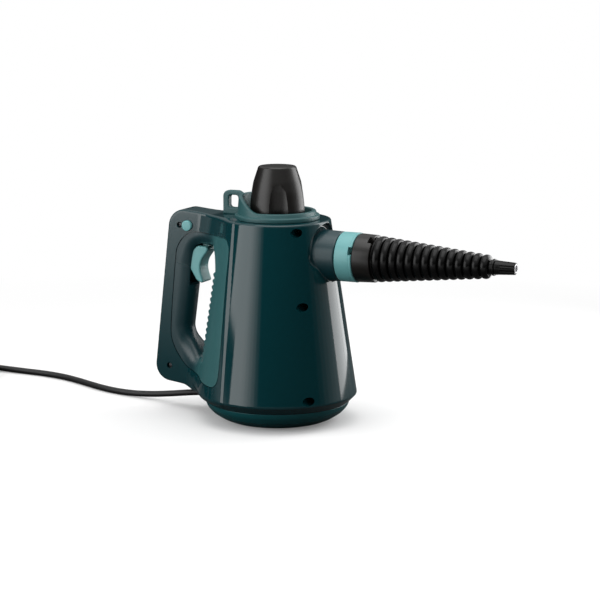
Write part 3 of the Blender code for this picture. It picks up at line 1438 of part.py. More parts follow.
def make_nozzle():
    at = (0, 0, NOZZLE_Z)
    rear = NOZZLE_RING_FRONT_X + SEAT
    seal_low = SEAL_X - SEAL_WIDTH / 2
    seal_high = SEAL_X + SEAL_WIDTH / 2
    groove = SPIGOT_RADIUS - SEAL_DEPTH
    connector = [
        (CONNECTOR_BORE_RADIUS, SPIGOT_REAR_X),
        (SPIGOT_RADIUS, SPIGOT_REAR_X),
        (SPIGOT_RADIUS, seal_low - SEAT),
        (groove, seal_low - SEAT),
        (groove, seal_high + SEAT),
        (SPIGOT_RADIUS, seal_high + SEAT),
        (SPIGOT_RADIUS, rear),
        (CONNECTOR_RADIUS, rear),
        (CONNECTOR_FRONT_RADIUS, CONNECTOR_FRONT_X),
        (CONNECTOR_BORE_RADIUS, CONNECTOR_FRONT_X),
    ]
    body = turned("nozzle_connector", connector, "cap_black", axis="X", at=at)
    low = (
        CONNECTOR_FRONT_X - NOTCH_DEPTH,
        -NOTCH_WIDTH / 2,
        NOZZLE_Z + CONNECTOR_RADIUS - NOTCH_SINK,
    )
    high = (CONNECTOR_FRONT_X + OVERRUN, NOTCH_WIDTH / 2, NOZZLE_Z + CONNECTOR_RADIUS + OVERRUN)
    carve(body, [block("connector_notch", low, high)])
    seal = tube_profile(groove + SEAT, SPIGOT_RADIUS + SEAT, seal_low, seal_high)
    turned("nozzle_seal", seal, "rubber", axis="X", at=at)
    stub = CONNECTOR_BORE_RADIUS - SEAT
    start = CONNECTOR_FRONT_X + SEAT
    cone = [(stub - CONE_WALL, CONE_STUB_X), (stub, CONE_STUB_X), (stub, start)]
    cone.append((rib_radius(0) - RIB_DEPTH, start))
    for i in range(RIB_COUNT):
        middle = RIB_FIRST_X + RIB_PITCH * (i + 0.5)
        crest = rib_radius(i)
        half_crest = RIB_CREST_SHARE * RIB_PITCH / 2
        cone += [(crest, middle - half_crest), (crest, middle + half_crest)]
        cone.append((crest - RIB_DEPTH, middle + RIB_PITCH / 2))
    flange_x = CONE_FRONT_X
    cone += [
        (CONE_FLANGE_RADIUS, flange_x),
        (CONE_FLANGE_RADIUS, flange_x + CONE_FLANGE_THICKNESS),
        (TIP_REAR_RADIUS - RIB_DEPTH, flange_x + CONE_FLANGE_THICKNESS),
        (TIP_REAR_RADIUS - RIB_DEPTH, flange_x - TIP_STUB_LENGTH - SEAT),
    ]
    turned("nozzle_cone", cone, "nozzle_black", axis="X", count=RIBBED_ROUND, at=at)
    tip_rear = flange_x + CONE_FLANGE_THICKNESS + SEAT
    tip_stub = TIP_REAR_RADIUS - RIB_DEPTH - SEAT
    tip_insert = TIP_FRONT_X - INSERT_LENGTH
    insert_outer = TIP_BORE_RADIUS
    tip = [
        (insert_outer - INSERT_WALL, flange_x - TIP_STUB_LENGTH),
        (tip_stub, flange_x - TIP_STUB_LENGTH),
        (tip_stub, tip_rear),
        (TIP_REAR_RADIUS, tip_rear),
        (TIP_FRONT_RADIUS, TIP_FRONT_X),
        (insert_outer + SEAT, TIP_FRONT_X),
        (insert_outer + SEAT, tip_insert - SEAT),
        (insert_outer - INSERT_WALL, tip_insert - SEAT),
    ]
    tip_piece = turned("nozzle_tip", tip, "nozzle_black", axis="X", count=MIDDLE_ROUND, at=at)
    carve(tip_piece, tip_flutes(tip_rear))
    ring = tube_profile(insert_outer - INSERT_WALL, insert_outer, tip_insert, TIP_FRONT_X + INSERT_PROUD)
    turned("nozzle_insert", ring, "steel", axis="X", count=SMALL_ROUND, at=at)


def tip_flutes(rear):
    """Grooves along the tip, each a thin cone that leans with the tip's side."""
    lean = math.atan((TIP_REAR_RADIUS - TIP_FRONT_RADIUS) / (TIP_FRONT_X - rear))
    length = TIP_FRONT_X - rear
    found = []
    for i in range(TIP_FLUTES):
        angle = math.tau * (i + 0.5) / TIP_FLUTES
        groove = turned(
            f"flute_{i}",
            rod(TIP_FLUTE_RADIUS, length * TIP_FLUTE_START_SHARE, length + OVERRUN),
            axis="X",
            count=FLUTE_ROUND,
        )
        out = TIP_REAR_RADIUS + TIP_FLUTE_RADIUS / 2
        base = Matrix.Translation((rear, 0, NOZZLE_Z)) @ Matrix.Rotation(angle, 4, "X")
        groove.matrix_world = base @ Matrix.Translation((0, 0, out)) @ Matrix.Rotation(lean, 4, "Y")
        found.append(groove)
    return found


def make_heating():
    z = BOILER_BOTTOM_Z - SEAT - ELEMENT_RADIUS
    start = math.radians(180 + ELEMENT_GAP_DEG / 2)
    sweep = math.radians(360 - ELEMENT_GAP_DEG)
    loop = []
    for k in range(ELEMENT_STEPS + 1):
        angle = start + sweep * k / ELEMENT_STEPS
        loop.append(Vector((math.cos(angle), math.sin(angle), 0)) * ELEMENT_LOOP_RADIUS)
        loop[-1].z = z
    drop = Vector((0, 0, z - ELEMENT_LEG_Z))
    first_bend = loop[0] - drop * ELEMENT_BEND_SHARE - (loop[1] - loop[0]) * ELEMENT_EASE_SHARE
    last_bend = loop[-1] - drop * ELEMENT_BEND_SHARE - (loop[-2] - loop[-1]) * ELEMENT_EASE_SHARE
    first_leg = first_bend - drop * (1 - ELEMENT_BEND_SHARE)
    last_leg = last_bend - drop * (1 - ELEMENT_BEND_SHARE)
    path = [first_leg, first_bend, *loop, last_bend, last_leg]
    wire("heating_element", path, ELEMENT_RADIUS, "steel")
    top = BOILER_BOTTOM_Z - SEAT
    disc = rod(THERMOSTAT_RADIUS, top - THERMOSTAT_HEIGHT, top)
    turned("thermostat", disc, "nylon", count=SMALL_ROUND, at=(THERMOSTAT_X, 0, 0))
    fuse = rod(FUSE_RADIUS, -FUSE_HALF_LENGTH, FUSE_HALF_LENGTH)
    fuse_z = top - FUSE_RADIUS
    turned("thermal_fuse", fuse, "steel", axis="Y", count=TINY_ROUND, at=(FUSE_X, 0, fuse_z))
    low_z = COVER_FLOOR_Z + BLOCK_POST_HEIGHT + SEAT
    high_z = low_z + BLOCK_HEIGHT
    low = (BLOCK_X - BLOCK_HALF_LENGTH, BLOCK_Y - BLOCK_HALF_WIDTH, low_z)
    high = (BLOCK_X + BLOCK_HALF_LENGTH, BLOCK_Y + BLOCK_HALF_WIDTH, high_z)
    block("terminal_block", low, high, "nylon")
    wire_z = high_z + SEAT + WIRE_RADIUS / 2
    ends = {
        "wire_live": (first_leg.x, first_leg.y, first_leg.z - SEAT - WIRE_RADIUS),
        "wire_neutral": (last_leg.x, last_leg.y, last_leg.z - SEAT - WIRE_RADIUS),
        "wire_earth": (THERMOSTAT_X, 0, top - THERMOSTAT_HEIGHT - SEAT - WIRE_RADIUS / 2),
    }
    colours = ("wire_brown", "wire_blue", "wire_green")
    starts = sorted(ends.items(), key=lambda item: item[1][1])
    for i, (name, end) in enumerate(starts):
        y = BLOCK_Y + WIRE_SPREAD * (i - 1)
        begin = Vector((BLOCK_X + BLOCK_HALF_LENGTH / 2, y, wire_z))
        finish = Vector(end)
        rise = Vector((0, 0, min((finish.z - begin.z) * WIRE_RISE_SHARE, 2 * WIRE_SPREAD)))
        route = [begin, begin + rise, finish - rise, finish]
        slot = colours[("wire_live", "wire_neutral", "wire_earth").index(name)]
        wire(name, smooth_route(route, 3 * WIRE_RADIUS), WIRE_RADIUS, slot)


def make_gland():
    """The tapered strain relief, the lead's end inside the base, and the clamp over it."""
    at = (0, CORD_Y, CORD_Z)
    inner = GLAND_INNER_X
    outer = GLAND_OUTER_X
    thick = GLAND_FLANGE_THICKNESS
    profile = [
        (0, inner + thick),
        (GLAND_NUT_RADIUS, inner + thick),
        (GLAND_NUT_RADIUS, inner),
        (GLAND_BODY_RADIUS, inner),
        (GLAND_BODY_RADIUS, outer + thick),
        (GLAND_FLANGE_RADIUS - SEAT, outer + thick),
        (GLAND_FLANGE_RADIUS - SEAT, outer),
    ]
    length = outer - GLAND_END_X
    for i in range(GLAND_RINGS):
        share = i / GLAND_RINGS
        ring = GLAND_BODY_RADIUS + (GLAND_END_RADIUS - GLAND_BODY_RADIUS) * share
        x = outer - length * share
        if i:
            profile.append((ring, x))
        profile.append((ring - SEAT, x - length / GLAND_RINGS / 2))
    profile += [(GLAND_END_RADIUS, GLAND_END_X + thick / 2), (GLAND_END_RADIUS, GLAND_END_X)]
    profile.append((0, GLAND_END_X))
    turned("cord_gland", profile, "rubber", axis="X", count=SMALL_ROUND, at=at)
    block_rear = BLOCK_X - BLOCK_HALF_LENGTH
    sheath = rod(CORD_RADIUS, inner + thick + SEAT, block_rear - SEAT)
    turned("cord_inside", sheath, "cord_black", axis="X", count=SMALL_ROUND, at=at)
    reach = CORD_RADIUS + SEAT
    low_z = COVER_FLOOR_Z + SEAT
    outer_half = reach + CLAMP_WALL
    low = (CLAMP_X - CLAMP_HALF_LENGTH, CORD_Y - outer_half, low_z)
    high = (CLAMP_X + CLAMP_HALF_LENGTH, CORD_Y + outer_half, CORD_Z + outer_half)
    clamp = block("cord_clamp", low, high, "nylon")
    channel_low = (CLAMP_X - OVERRUN, CORD_Y - reach, low_z - OVERRUN)
    channel_high = (CLAMP_X + OVERRUN, CORD_Y + reach, CORD_Z)
    arch = cutter(
        "clamp_arch",
        rod(reach, CLAMP_X - OVERRUN, CLAMP_X + OVERRUN),
        axis="X",
        count=SMALL_ROUND,
        at=at,
    )
    carve(clamp, [block("clamp_channel", channel_low, channel_high), arch])


# The lead's free route to the coil, in millimetres from the gland's end, chosen by hand
CORD_ROUTE = (
    (-0.3, 12, 14),
    (-8, 12, 13.6),
    (-20, 12.2, 12),
    (-40, 13, 8.9),
    (-62, 14.6, 5.9),
    (-84, 16.9, 4.0),
    (-106, 20.2, 3.35),
    (-128, 26.4, 3.35),
    (-150, 36, 3.35),
    (-172, 46.4, 3.35),
    (-196, 55.8, 3.35),
    (-222, 61.4, 3.35),
    (-250, 63, 3.35),
    (-278, 63.1, 3.8),
    (-302, 63.2, 4.45),
    (-313.2, 63.2, 4.45),
)


def coil_radius(turns):
    """The wound radius after so many turns: in along the lower layer, out along the upper."""
    reach = COIL_LAYER_TURNS
    half = COIL_CLIMB_TURNS / 2
    distance = turns if turns < reach else 2 * reach - turns
    if abs(turns - reach) < half:
        share = (turns - reach) / half
        distance = reach - half * (1 + share * share) / 2
    return COIL_RADIUS - COIL_PITCH * distance


def coil_height(turns):
    low = CORD_RADIUS + COIL_LIFT
    share = (turns - COIL_LAYER_TURNS) / COIL_CLIMB_TURNS + 0.5
    share = min(1, max(0, share))
    return low + COIL_PITCH * share * share * (3 - 2 * share)


def coil_path():
    """The coil's centre line: one straight diameter, the wound layers, then the tail to the plug."""
    centre = Vector((COIL_X, COIL_Y, 0))
    found = [Vector((COIL_X + 2 * CORD_RADIUS, COIL_Y + COIL_RADIUS, coil_height(0)))]
    total = 2 * COIL_LAYER_TURNS
    count = round(total * COIL_STEPS_PER_TURN)
    for k in range(count + 1):
        turns = total * k / count
        angle = math.pi / 2 + math.tau * turns
        radius = coil_radius(turns)
        found.append(
            centre + Vector((radius * math.cos(angle), radius * math.sin(angle), coil_height(turns)))
        )
    last, forward = coil_end()
    rise = plug_height() - last.z
    steps = 8
    for k in range(1, steps + 1):
        share = k / steps
        lift = min(1, share * TAIL_LENGTH / (TAIL_LENGTH - 2 * CORD_RADIUS))
        eased = lift * lift * (3 - 2 * lift)
        found.append(last + forward * (TAIL_LENGTH * share) + Vector((0, 0, rise * eased)))
    return found


def coil_end():
    """Where the wound turns end, and the direction in which the tail leaves them."""
    turns = 2 * COIL_LAYER_TURNS
    angle = math.pi / 2 + math.tau * turns
    outward = Vector((math.cos(angle), math.sin(angle), 0))
    place = Vector((COIL_X, COIL_Y, coil_height(turns))) + outward * COIL_RADIUS
    return place, Vector((-math.sin(angle), math.cos(angle), 0))


def plug_height():
    return PLUG_RADIUS + SEAT


def least_gap(points, diameter):
    """The least gap between two stretches of a wound tube that aren't neighbours along it."""
    lengths = [0]
    for a, b in zip(points, points[1:]):
        lengths.append(lengths[-1] + (b - a).length)
    least = math.inf
    for i, a in enumerate(points):
        for j in range(i + 1, len(points) - 1):
            if lengths[j] - lengths[i] < 4 * diameter:
                continue
            b, c = points[j], points[j + 1]
            along_edge = (a - b).dot(c - b) / (c - b).length_squared
            nearest = b.lerp(c, min(1, max(0, along_edge)))
            least = min(least, (a - nearest).length - diameter)
    return least


def make_lead():
    gland_end = Vector((GLAND_END_X, 0, 0))
    route = [gland_end + Vector(point) * MM for point in CORD_ROUTE]
    wire("cord", smooth_route(route, 5 * CORD_RADIUS), CORD_RADIUS, "cord_black", resolution=2)
    path = coil_path()
    wire("cord_coil", path, CORD_RADIUS, "cord_black", resolution=1)
    length = sum((b - a).length for a, b in zip(path, path[1:]))
    free = smooth_route(route, 5 * CORD_RADIUS)
    length += sum((b - a).length for a, b in zip(free, free[1:]))
    gap = least_gap(path, 2 * CORD_RADIUS)
    print(f"lead {length:.3f} m, least gap in the coil {gap / MM:.2f} mm")
    make_plug()
    make_tie()


def make_plug():
    last, forward = coil_end()
    start = last + forward * (TAIL_LENGTH + SEAT)
    start.z = plug_height()
    heading = math.atan2(forward.y, forward.x)
    base = PLUG_RELIEF_LENGTH
    end = base + PLUG_LENGTH
    edge = PLUG_ROUNDING
    profile = [
        (0, 0),
        (PLUG_RELIEF_RADIUS, 0),
        (PLUG_RELIEF_ROOT_RADIUS, base),
        (PLUG_RADIUS - edge, base),
        (PLUG_RADIUS, base + edge),
        (PLUG_RADIUS, end - edge / 2),
        (PLUG_RADIUS - edge / 2, end),
        (0, end),
    ]
    turn = Matrix.Translation(start) @ Matrix.Rotation(heading, 4, "Z")
    body = turned("plug", profile, "cord_black", axis="X")
    body.matrix_world = turn
    for i, side in enumerate((-1, 1)):
        pin = rod(PLUG_PIN_RADIUS, end + SEAT, end + SEAT + PLUG_PIN_LENGTH)
        made = turned(f"plug_pin_{i + 1}", pin, "steel", axis="X", count=TINY_ROUND)
        made.matrix_world = turn @ Matrix.Translation((0, side * PLUG_PIN_SPACING / 2, 0))


def make_tie():
    """The flat band round all turns of the coil."""
    inner_turn = coil_radius(COIL_LAYER_TURNS) - CORD_RADIUS
    outer_turn = COIL_RADIUS + CORD_RADIUS
    clear = SEAT
    low_z = COIL_LIFT - clear
    high_z = coil_height(2 * COIL_LAYER_TURNS) + CORD_RADIUS + clear
    corners = [
        (inner_turn - 2 * clear, low_z),
        (outer_turn + 2 * clear, low_z),
        (outer_turn + 2 * clear, high_z),
        (inner_turn - 2 * clear, high_z),
    ]
    hole = rounded([(x, z, CORD_RADIUS / 2) for x, z in corners], steps=3)
    half = TIE_HALF_WIDTH
    band = slab("cord_tie", grown(hole, TIE_THICKNESS), [(-half, 0), (half, 0)], "rubber")
    carve(band, [slab("tie_hole", hole, [(-half - OVERRUN, 0), (half + OVERRUN, 0)])])
    place = Matrix.Translation((COIL_X, COIL_Y, 0))
    band.matrix_world = place @ Matrix.Rotation(math.radians(TIE_ANGLE_DEG), 4, "Z")


def clear_scene():
    for thing in list(bpy.data.objects):
        bpy.data.objects.remove(thing)


def main():
    clear_scene()
    make_shells()
    make_screws()
    make_base()
    make_top_ring()
    make_boiler()
    make_cap()
    make_trigger()
    make_lock()
    make_valve()
    make_socket()
    make_nozzle()
    make_heating()
    make_gland()
    make_lead()


main()
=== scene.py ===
"""Looks of a handheld steam cleaner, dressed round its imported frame. Shapes are in millimetres."""

import json
import math

import bmesh
import bpy
import numpy as np
from mathutils import Matrix, Vector

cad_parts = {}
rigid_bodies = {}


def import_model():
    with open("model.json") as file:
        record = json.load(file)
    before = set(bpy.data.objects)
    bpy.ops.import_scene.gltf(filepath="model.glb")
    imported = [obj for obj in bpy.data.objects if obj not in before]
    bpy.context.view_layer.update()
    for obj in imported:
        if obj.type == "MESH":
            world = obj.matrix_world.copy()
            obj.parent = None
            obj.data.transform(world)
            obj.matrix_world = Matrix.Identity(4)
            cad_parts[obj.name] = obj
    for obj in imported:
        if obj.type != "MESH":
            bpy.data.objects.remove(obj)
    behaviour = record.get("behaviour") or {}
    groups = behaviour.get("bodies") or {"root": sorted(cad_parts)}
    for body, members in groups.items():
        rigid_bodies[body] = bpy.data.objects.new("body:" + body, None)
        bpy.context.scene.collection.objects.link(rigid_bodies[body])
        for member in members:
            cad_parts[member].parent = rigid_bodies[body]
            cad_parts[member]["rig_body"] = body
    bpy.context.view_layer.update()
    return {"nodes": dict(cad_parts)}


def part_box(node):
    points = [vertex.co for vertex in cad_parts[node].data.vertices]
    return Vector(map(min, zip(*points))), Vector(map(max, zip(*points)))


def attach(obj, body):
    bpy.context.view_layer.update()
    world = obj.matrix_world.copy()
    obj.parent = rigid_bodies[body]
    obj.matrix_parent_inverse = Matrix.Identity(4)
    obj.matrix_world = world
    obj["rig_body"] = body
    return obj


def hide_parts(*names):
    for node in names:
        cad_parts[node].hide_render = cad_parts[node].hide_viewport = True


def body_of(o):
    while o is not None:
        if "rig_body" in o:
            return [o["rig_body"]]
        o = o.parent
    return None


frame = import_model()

MM = 0.001
SEAT = 0.3

# Camera, as the photograph was taken, in metres
CAMERA_AZIMUTH_DEG = 25
CAMERA_ELEVATION_DEG = 10.3
CAMERA_DISTANCE = 2.0
CAMERA_LENS_MM = 120
CAMERA_AIM_RIGHT = 0.0225
CAMERA_AIM_Z = 0.12

# Cone of the housing
CONE_BASE_RADIUS = 72.5
CONE_BASE_Z = 19.5
CONE_SKIRT_RADIUS = 79.9
CONE_SKIRT_Z = 26.8
CONE_RIM_RADIUS = 53.2
CONE_TOP_Z = 202.6
RIM_FILLET = 1.7
SKIRT_FILLET = 0.9
BASE_SPARE = 5
MOUTH_SPAN = (190, 215)
MOUTH_RADIUS = 34
HOUSING_WALL = 2.5
HOUSING_STEP = 1.1
CAVITY_STEP = 2.2
SKIN_LOW = (-134.5, -84, 11.5)
SKIN_HIGH = (84, 84, 212)
BEYOND = 130
SPLIT_HALF = 0.08
SIDE_START = 90.0
SIDE_ROUNDS = 60

# Handle of the housing
HANDLE_HALF_WIDTH = 15
HANDLE_ROUNDING = 2.2
HANDLE_SWEEP = 30
HANDLE_JOINT = 3
# Outlines are corners: across, up and the radius that rounds them
HANDLE_CORNERS = (
    (-25, 204.2, 2), (-64, 204.2, 60), (-113.3, 209.1, 18), (-133.6, 31.4, 17),
    (-98.8, 27.2, 14), (-86, 22.5, 4), (-25, 22.5, 2),
)
HOLE_CORNERS = (
    (-56.5, 172, 10), (-51.2, 148, 30), (-64.4, 56.3, 6), (-78, 58, 8),
    (-96, 82, 18), (-89.5, 130, 30), (-86.5, 172, 10),
)
HOLE_WALL_TOP = (-51.2, 148)
HOLE_WALL_FOOT = (-64.4, 56.3)
HOLE_FLARE = 14.8
HOLE_EDGE = 1.6
# Where the painted shade on the grip starts, short of the hole's wall, and how softly it fades out
GRIP_SHADE_GAP = 13
GRIP_SHADE_FADE = 9
FLARE_FADE = (6, 15)
FLARE_TOP_LOSS = 0.25
FLARE_TOP_Z = (150, 170)
TOOTH_TOP_Z = 147
TOOTH_PITCH = 6.2
TOOTH_COUNT = 14
TOOTH_HEIGHT = 4.2
TOOTH_REACH = (6, 12)
TOOTH_END = 0.1

# Collar that the nozzle plugs into
NOZZLE_Z = 169
NOZZLE_AT = (0, 0, NOZZLE_Z)
COLLAR_ROOT_X = 46
COLLAR_ROOT_RADIUS = 25.4
COLLAR_END_X = 71.3
COLLAR_END_RADIUS = 24.5
COLLAR_BORE = 21.6
COLLAR_BLEND = 0.8
COLLAR_EDGE = 0.8
COLLAR_SATIN_RADIUS = 25.8
COLLAR_SATIN_X = 44
MOAT_RADIUS = 28
MOAT_HALF = 3
MOAT_X = 49
MOAT_FADE = 20
MOAT_EDGE = 1.6
BORE_SPAN = (44, 75)

# Holes in the housing: x, z and radius
SCREWS = (
    (38.5, 194.8, 3.9), (47.7, 123.4, 3.9), (58.5, 32.4, 3.9), (-102.3, 191.7, 2.7),
    (-115.7, 45.6, 2.7),
)
SCREW_SEAT_Y = -11
SCREW_TIP_Y = 9
SCREW_SHANK = 1.7
SCREW_PLAY = 0.4
BOSS_MARGIN = 2
LOCK_X = -93.3
LOCK_Z = 191.4
LOCK_RADIUS = 5.4
LOCK_SHAFT = 2.9
LOCK_DEPTH = 6
LOCK_PROUD = 2.8
PIVOT = (-82, 0, 181)
PIN_RADIUS = 1.8
EAR_RADIUS = 4.6
EAR_GAP = 11
PIN_HALF = 13.8
TRIGGER_SLOT = ((-104, -10.5, 130), (-61, 10.5, 174.8))
TRIGGER_WALLS = ((-107, -20, 127), (-60, 20, 174.7))

# Satin field round the finger hole, in side view
PANEL_OUTLINE = (
    (-107.1, 154.2), (-106.1, 165.5), (-102.7, 173.2), (-96.8, 180.3), (-88.3, 185),
    (-80, 185.8), (-67.3, 185.2), (-50, 185.1), (-35.3, 185.4), (-30.7, 181.2),
    (-28.1, 173.1), (-29.3, 144.3), (-29.8, 109), (-30.2, 73.2), (-31.6, 49.9),
    (-36.9, 41.7), (-45.2, 40.1), (-64.9, 41.5), (-92.4, 46.5), (-104.9, 58.3),
    (-111.9, 72.5), (-113.2, 85.4), (-111.3, 113.2), (-107.9, 150.1),
)
GROOVE_WIDTH = 0.9
GROOVE_DEPTH = 1.3
GROOVE_SPARE = 2

# Lead, in metres
CORD_RADIUS = 0.00325
CORD_ROUTE_MM = (
    (-90.3, 12, 14), (-98, 12, 13.6), (-110, 12.2, 12), (-130, 13, 8.9),
    (-152, 14.6, 5.9), (-174, 16.9, 4.0), (-196, 20.2, 3.35), (-218, 26.4, 3.35),
    (-240, 36, 3.35), (-262, 46.4, 3.35), (-286, 55.8, 3.35), (-312, 61.4, 3.35),
    (-340, 63, 3.35), (-368, 63.1, 3.8), (-392, 63.2, 4.45),
)
COIL_X = -0.410
COIL_Y = 0.012
COIL_RADIUS = 0.0512
COIL_PITCH = 0.0073
COIL_LIFT = 0.0012
COIL_LAYER_TURNS = 3.1875
COIL_CLIMB_TURNS = 0.5
COIL_STEPS_PER_TURN = 24
TAIL_LENGTH = 0.034
TAIL_STEPS = 8
PLUG_AXIS_Z = 0.0183


def direction(azimuth_deg, elevation_deg):
    """From the object towards a camera or a light at this azimuth and elevation."""
    azimuth = math.radians(azimuth_deg)
    elevation = math.radians(elevation_deg)
    flat = math.cos(elevation)
    return Vector((math.sin(azimuth) * flat, -math.cos(azimuth) * flat, math.sin(elevation)))


def aimed(towards):
    """A rotation that looks along a direction with its own top up."""
    return towards.to_track_quat("-Z", "Y").to_matrix().to_4x4()


def linked(name, data):
    """A new object in the scene."""
    made = bpy.data.objects.new(name, data)
    bpy.context.scene.collection.objects.link(made)
    return made


def make_camera():
    azimuth = math.radians(CAMERA_AZIMUTH_DEG)
    right = Vector((math.cos(azimuth), math.sin(azimuth), 0))
    aim = right * CAMERA_AIM_RIGHT + Vector((0, 0, CAMERA_AIM_Z))
    back = direction(CAMERA_AZIMUTH_DEG, CAMERA_ELEVATION_DEG)
    data = bpy.data.cameras.new("camera")
    data.lens = CAMERA_LENS_MM
    camera = linked("camera", data)
    camera.matrix_world = Matrix.Translation(aim + back * CAMERA_DISTANCE) @ aimed(-back)
    bpy.context.scene.camera = camera


def linear(red, green, blue):
    """A colour given in the 0 to 255 steps of a screen."""
    shares = (step / 255 for step in (red, green, blue))
    return tuple(((c + 0.055) / 1.055) ** 2.4 if c > 0.04 else c / 12.92 for c in shares)


# Materials

GLOSSY_TEAL = linear(4, 48, 53)
SATIN_TEAL = linear(46, 92, 94)
# Darker teal: on the grip it is painted shade for faces turned away from the lamps; on the collar it is the
# collar's own dark teal
GRIP_SHADE_AND_COLLAR_TEAL = linear(4, 46, 52)
GLOSSY_ROUGHNESS = (0.06, 0.1)
SATIN_ROUGHNESS = (0.3, 0.36)
SATIN_EDGE = 0.2
HOUSING_MOTTLE = 0.05
HOUSING_GRAIN = (0.01, 0.12)
PLASTIC_LOOK = {"cloud": (35, 3), "mottle": 0.06, "spread": 0.03}
METAL_LOOK = {"cloud": (220, 4), "mottle": 0.12, "spread": 0.08, "metallic": 1}
METAL_GRAIN = (0.08, 2600, 3)
FELT_COLOUR = (0.5, 0.47, 0.4)
FELT_MOTTLE = 0.25

# Each plastic's colour, roughness, strength and scale of its grain, and specular level
PLASTICS = {
    "bowl_teal": (linear(12, 76, 80), 0.22, 0.02, 1400, 0.35),
    "matt_teal": (linear(40, 81, 83), 0.4, 0.16, 1400, 0.35),
    "turquoise": (linear(102, 163, 164), 0.36, 0.1, 1400, 0.5),
    "cap_black": (linear(17, 15, 13), 0.3, 0.08, 1400, 0.4),
    "nozzle_black": (linear(7, 7, 7), 0.22, 0.1, 1400, 0.2),
    "rubber": (linear(24, 24, 24), 0.55, 0.25, 900, 0.5),
    "cord_black": (linear(14, 14, 15), 0.5, 0.1, 900, 0.5),
    "nylon": ((0.62, 0.6, 0.55), 0.42, 0.12, 1400, 0.5),
    "silicone": ((0.45, 0.1, 0.06), 0.5, 0.08, 1400, 0.5),
    "wire_brown": ((0.15, 0.06, 0.02), 0.4, 0.05, 1400, 0.5),
    "wire_blue": ((0.03, 0.08, 0.4), 0.4, 0.05, 1400, 0.5),
    "wire_green": ((0.1, 0.35, 0.05), 0.4, 0.05, 1400, 0.5),
}

# Each metal's colour and roughness
METALS = {
    "steel": ((0.62, 0.62, 0.63), 0.3),
    # Screw steel nearly black: painted shade for the deep holes the heads sit in
    "shaded_screw_steel": ((0.1, 0.1, 0.105), 0.36),
    "brass": ((0.62, 0.44, 0.18), 0.32),
    "aluminium": ((0.6, 0.6, 0.62), 0.42),
}


class Nodes:
    """A node tree, and short ways to add and link the nodes that are used here."""

    def __init__(self, tree):
        self.tree = tree
        self.place = self.add("TexCoord").outputs

    def feed(self, node, values):
        """Gives a node's sockets other nodes' outputs, colours or numbers."""
        for name, value in values.items():
            if isinstance(value, bpy.types.NodeSocket):
                self.tree.links.new(value, node.inputs[name])
            elif isinstance(value, (tuple, list)):
                node.inputs[name].default_value = (*value, 1)
            else:
                node.inputs[name].default_value = value

    def add(self, kind, values=None, **settings):
        made = self.tree.nodes.new("ShaderNode" + kind)
        for name, value in settings.items():
            setattr(made, name, value)
        self.feed(made, values or {})
        return made

    def noise(self, scale, detail=2):
        made = self.add("TexNoise", {"Vector": self.place["Object"], "Scale": scale, "Detail": detail})
        return made.outputs["Fac"]

    def ranged(self, value, low, high, start=0.0, end=1.0):
        """Low to high, as a value goes from start to end."""
        ends = {"From Min": start, "From Max": end, "To Min": low, "To Max": high}
        return self.add("MapRange", {"Value": value, **ends}).outputs["Result"]

    def mixed(self, share, first, second, kind="FLOAT"):
        values = {"Factor": share, "A": first, "B": second}
        return self.add("Mix", values, data_type=kind).outputs["Result"]

    def varied(self, cloud, colour, mottle):
        """A colour that turns darker and lighter in patches."""
        dark = [c * (1 - mottle) for c in colour]
        light = [c * (1 + mottle) for c in colour]
        return self.mixed(cloud, dark, light, "RGBA")

    def bumped(self, shader, height, strength, distance=0.0002):
        bump = self.add("Bump", {"Distance": distance, "Height": height, "Strength": strength})
        self.feed(shader, {"Normal": bump.outputs["Normal"]})


def new_material(name):
    made = bpy.data.materials.new(name)
    made.use_nodes = True
    return made, Nodes(made.node_tree), made.node_tree.nodes["Principled BSDF"]


def surface(name, colour, roughness, grain, cloud, mottle, spread, specular=0.5, metallic=0):
    """A colour that varies a little, an uneven gloss, and a grain: its strength, scale and detail."""
    made, nodes, shader = new_material(name)
    patches = nodes.noise(*cloud)
    rough = nodes.ranged(patches, roughness - spread, roughness + spread)
    nodes.feed(shader, {"Base Color": nodes.varied(patches, colour, mottle), "Roughness": rough})
    nodes.feed(shader, {"Specular IOR Level": specular, "Metallic": metallic})
    strength, *scale = grain
    nodes.bumped(shader, nodes.noise(*scale), strength)
    return made


def housing_plastic():
    """Glossy dark teal, satin where the mesh's satin distance is below zero, darker where the grip field is
    1: painted shade on the grip, and the collar's own dark teal on the collar.
    """
    made, nodes, shader = new_material("housing_teal")
    cloud = nodes.noise(30, 3)
    distance = nodes.add("Attribute", attribute_name="satin").outputs["Fac"]
    satin = nodes.ranged(distance, 1, 0, -SATIN_EDGE, SATIN_EDGE)
    # The grip field mixes in painted shade on the grip, and the collar's own darker teal
    shade_and_collar_share = nodes.add("Attribute", attribute_name="grip").outputs["Fac"]
    colours = (GLOSSY_TEAL, SATIN_TEAL, GRIP_SHADE_AND_COLLAR_TEAL)
    glossy, panel, grip = (nodes.varied(cloud, colour, HOUSING_MOTTLE) for colour in colours)
    matt = nodes.mixed(shade_and_collar_share, panel, grip, "RGBA")
    glossy_rough = nodes.ranged(cloud, *GLOSSY_ROUGHNESS)
    satin_rough = nodes.ranged(cloud, *SATIN_ROUGHNESS)
    rough = nodes.mixed(satin, glossy_rough, satin_rough)
    nodes.feed(shader, {"Base Color": nodes.mixed(satin, glossy, matt, "RGBA"), "Roughness": rough})
    nodes.bumped(shader, nodes.noise(1600), nodes.mixed(satin, *HOUSING_GRAIN))
    return made


def felt_cloth():
    made, nodes, shader = new_material("mineral_felt")
    cloud = nodes.noise(400, 6)
    nodes.feed(shader, {"Base Color": nodes.varied(cloud, FELT_COLOUR, FELT_MOTTLE), "Roughness": 0.95})
    nodes.bumped(shader, cloud, 0.6, 0.0008)
    return made


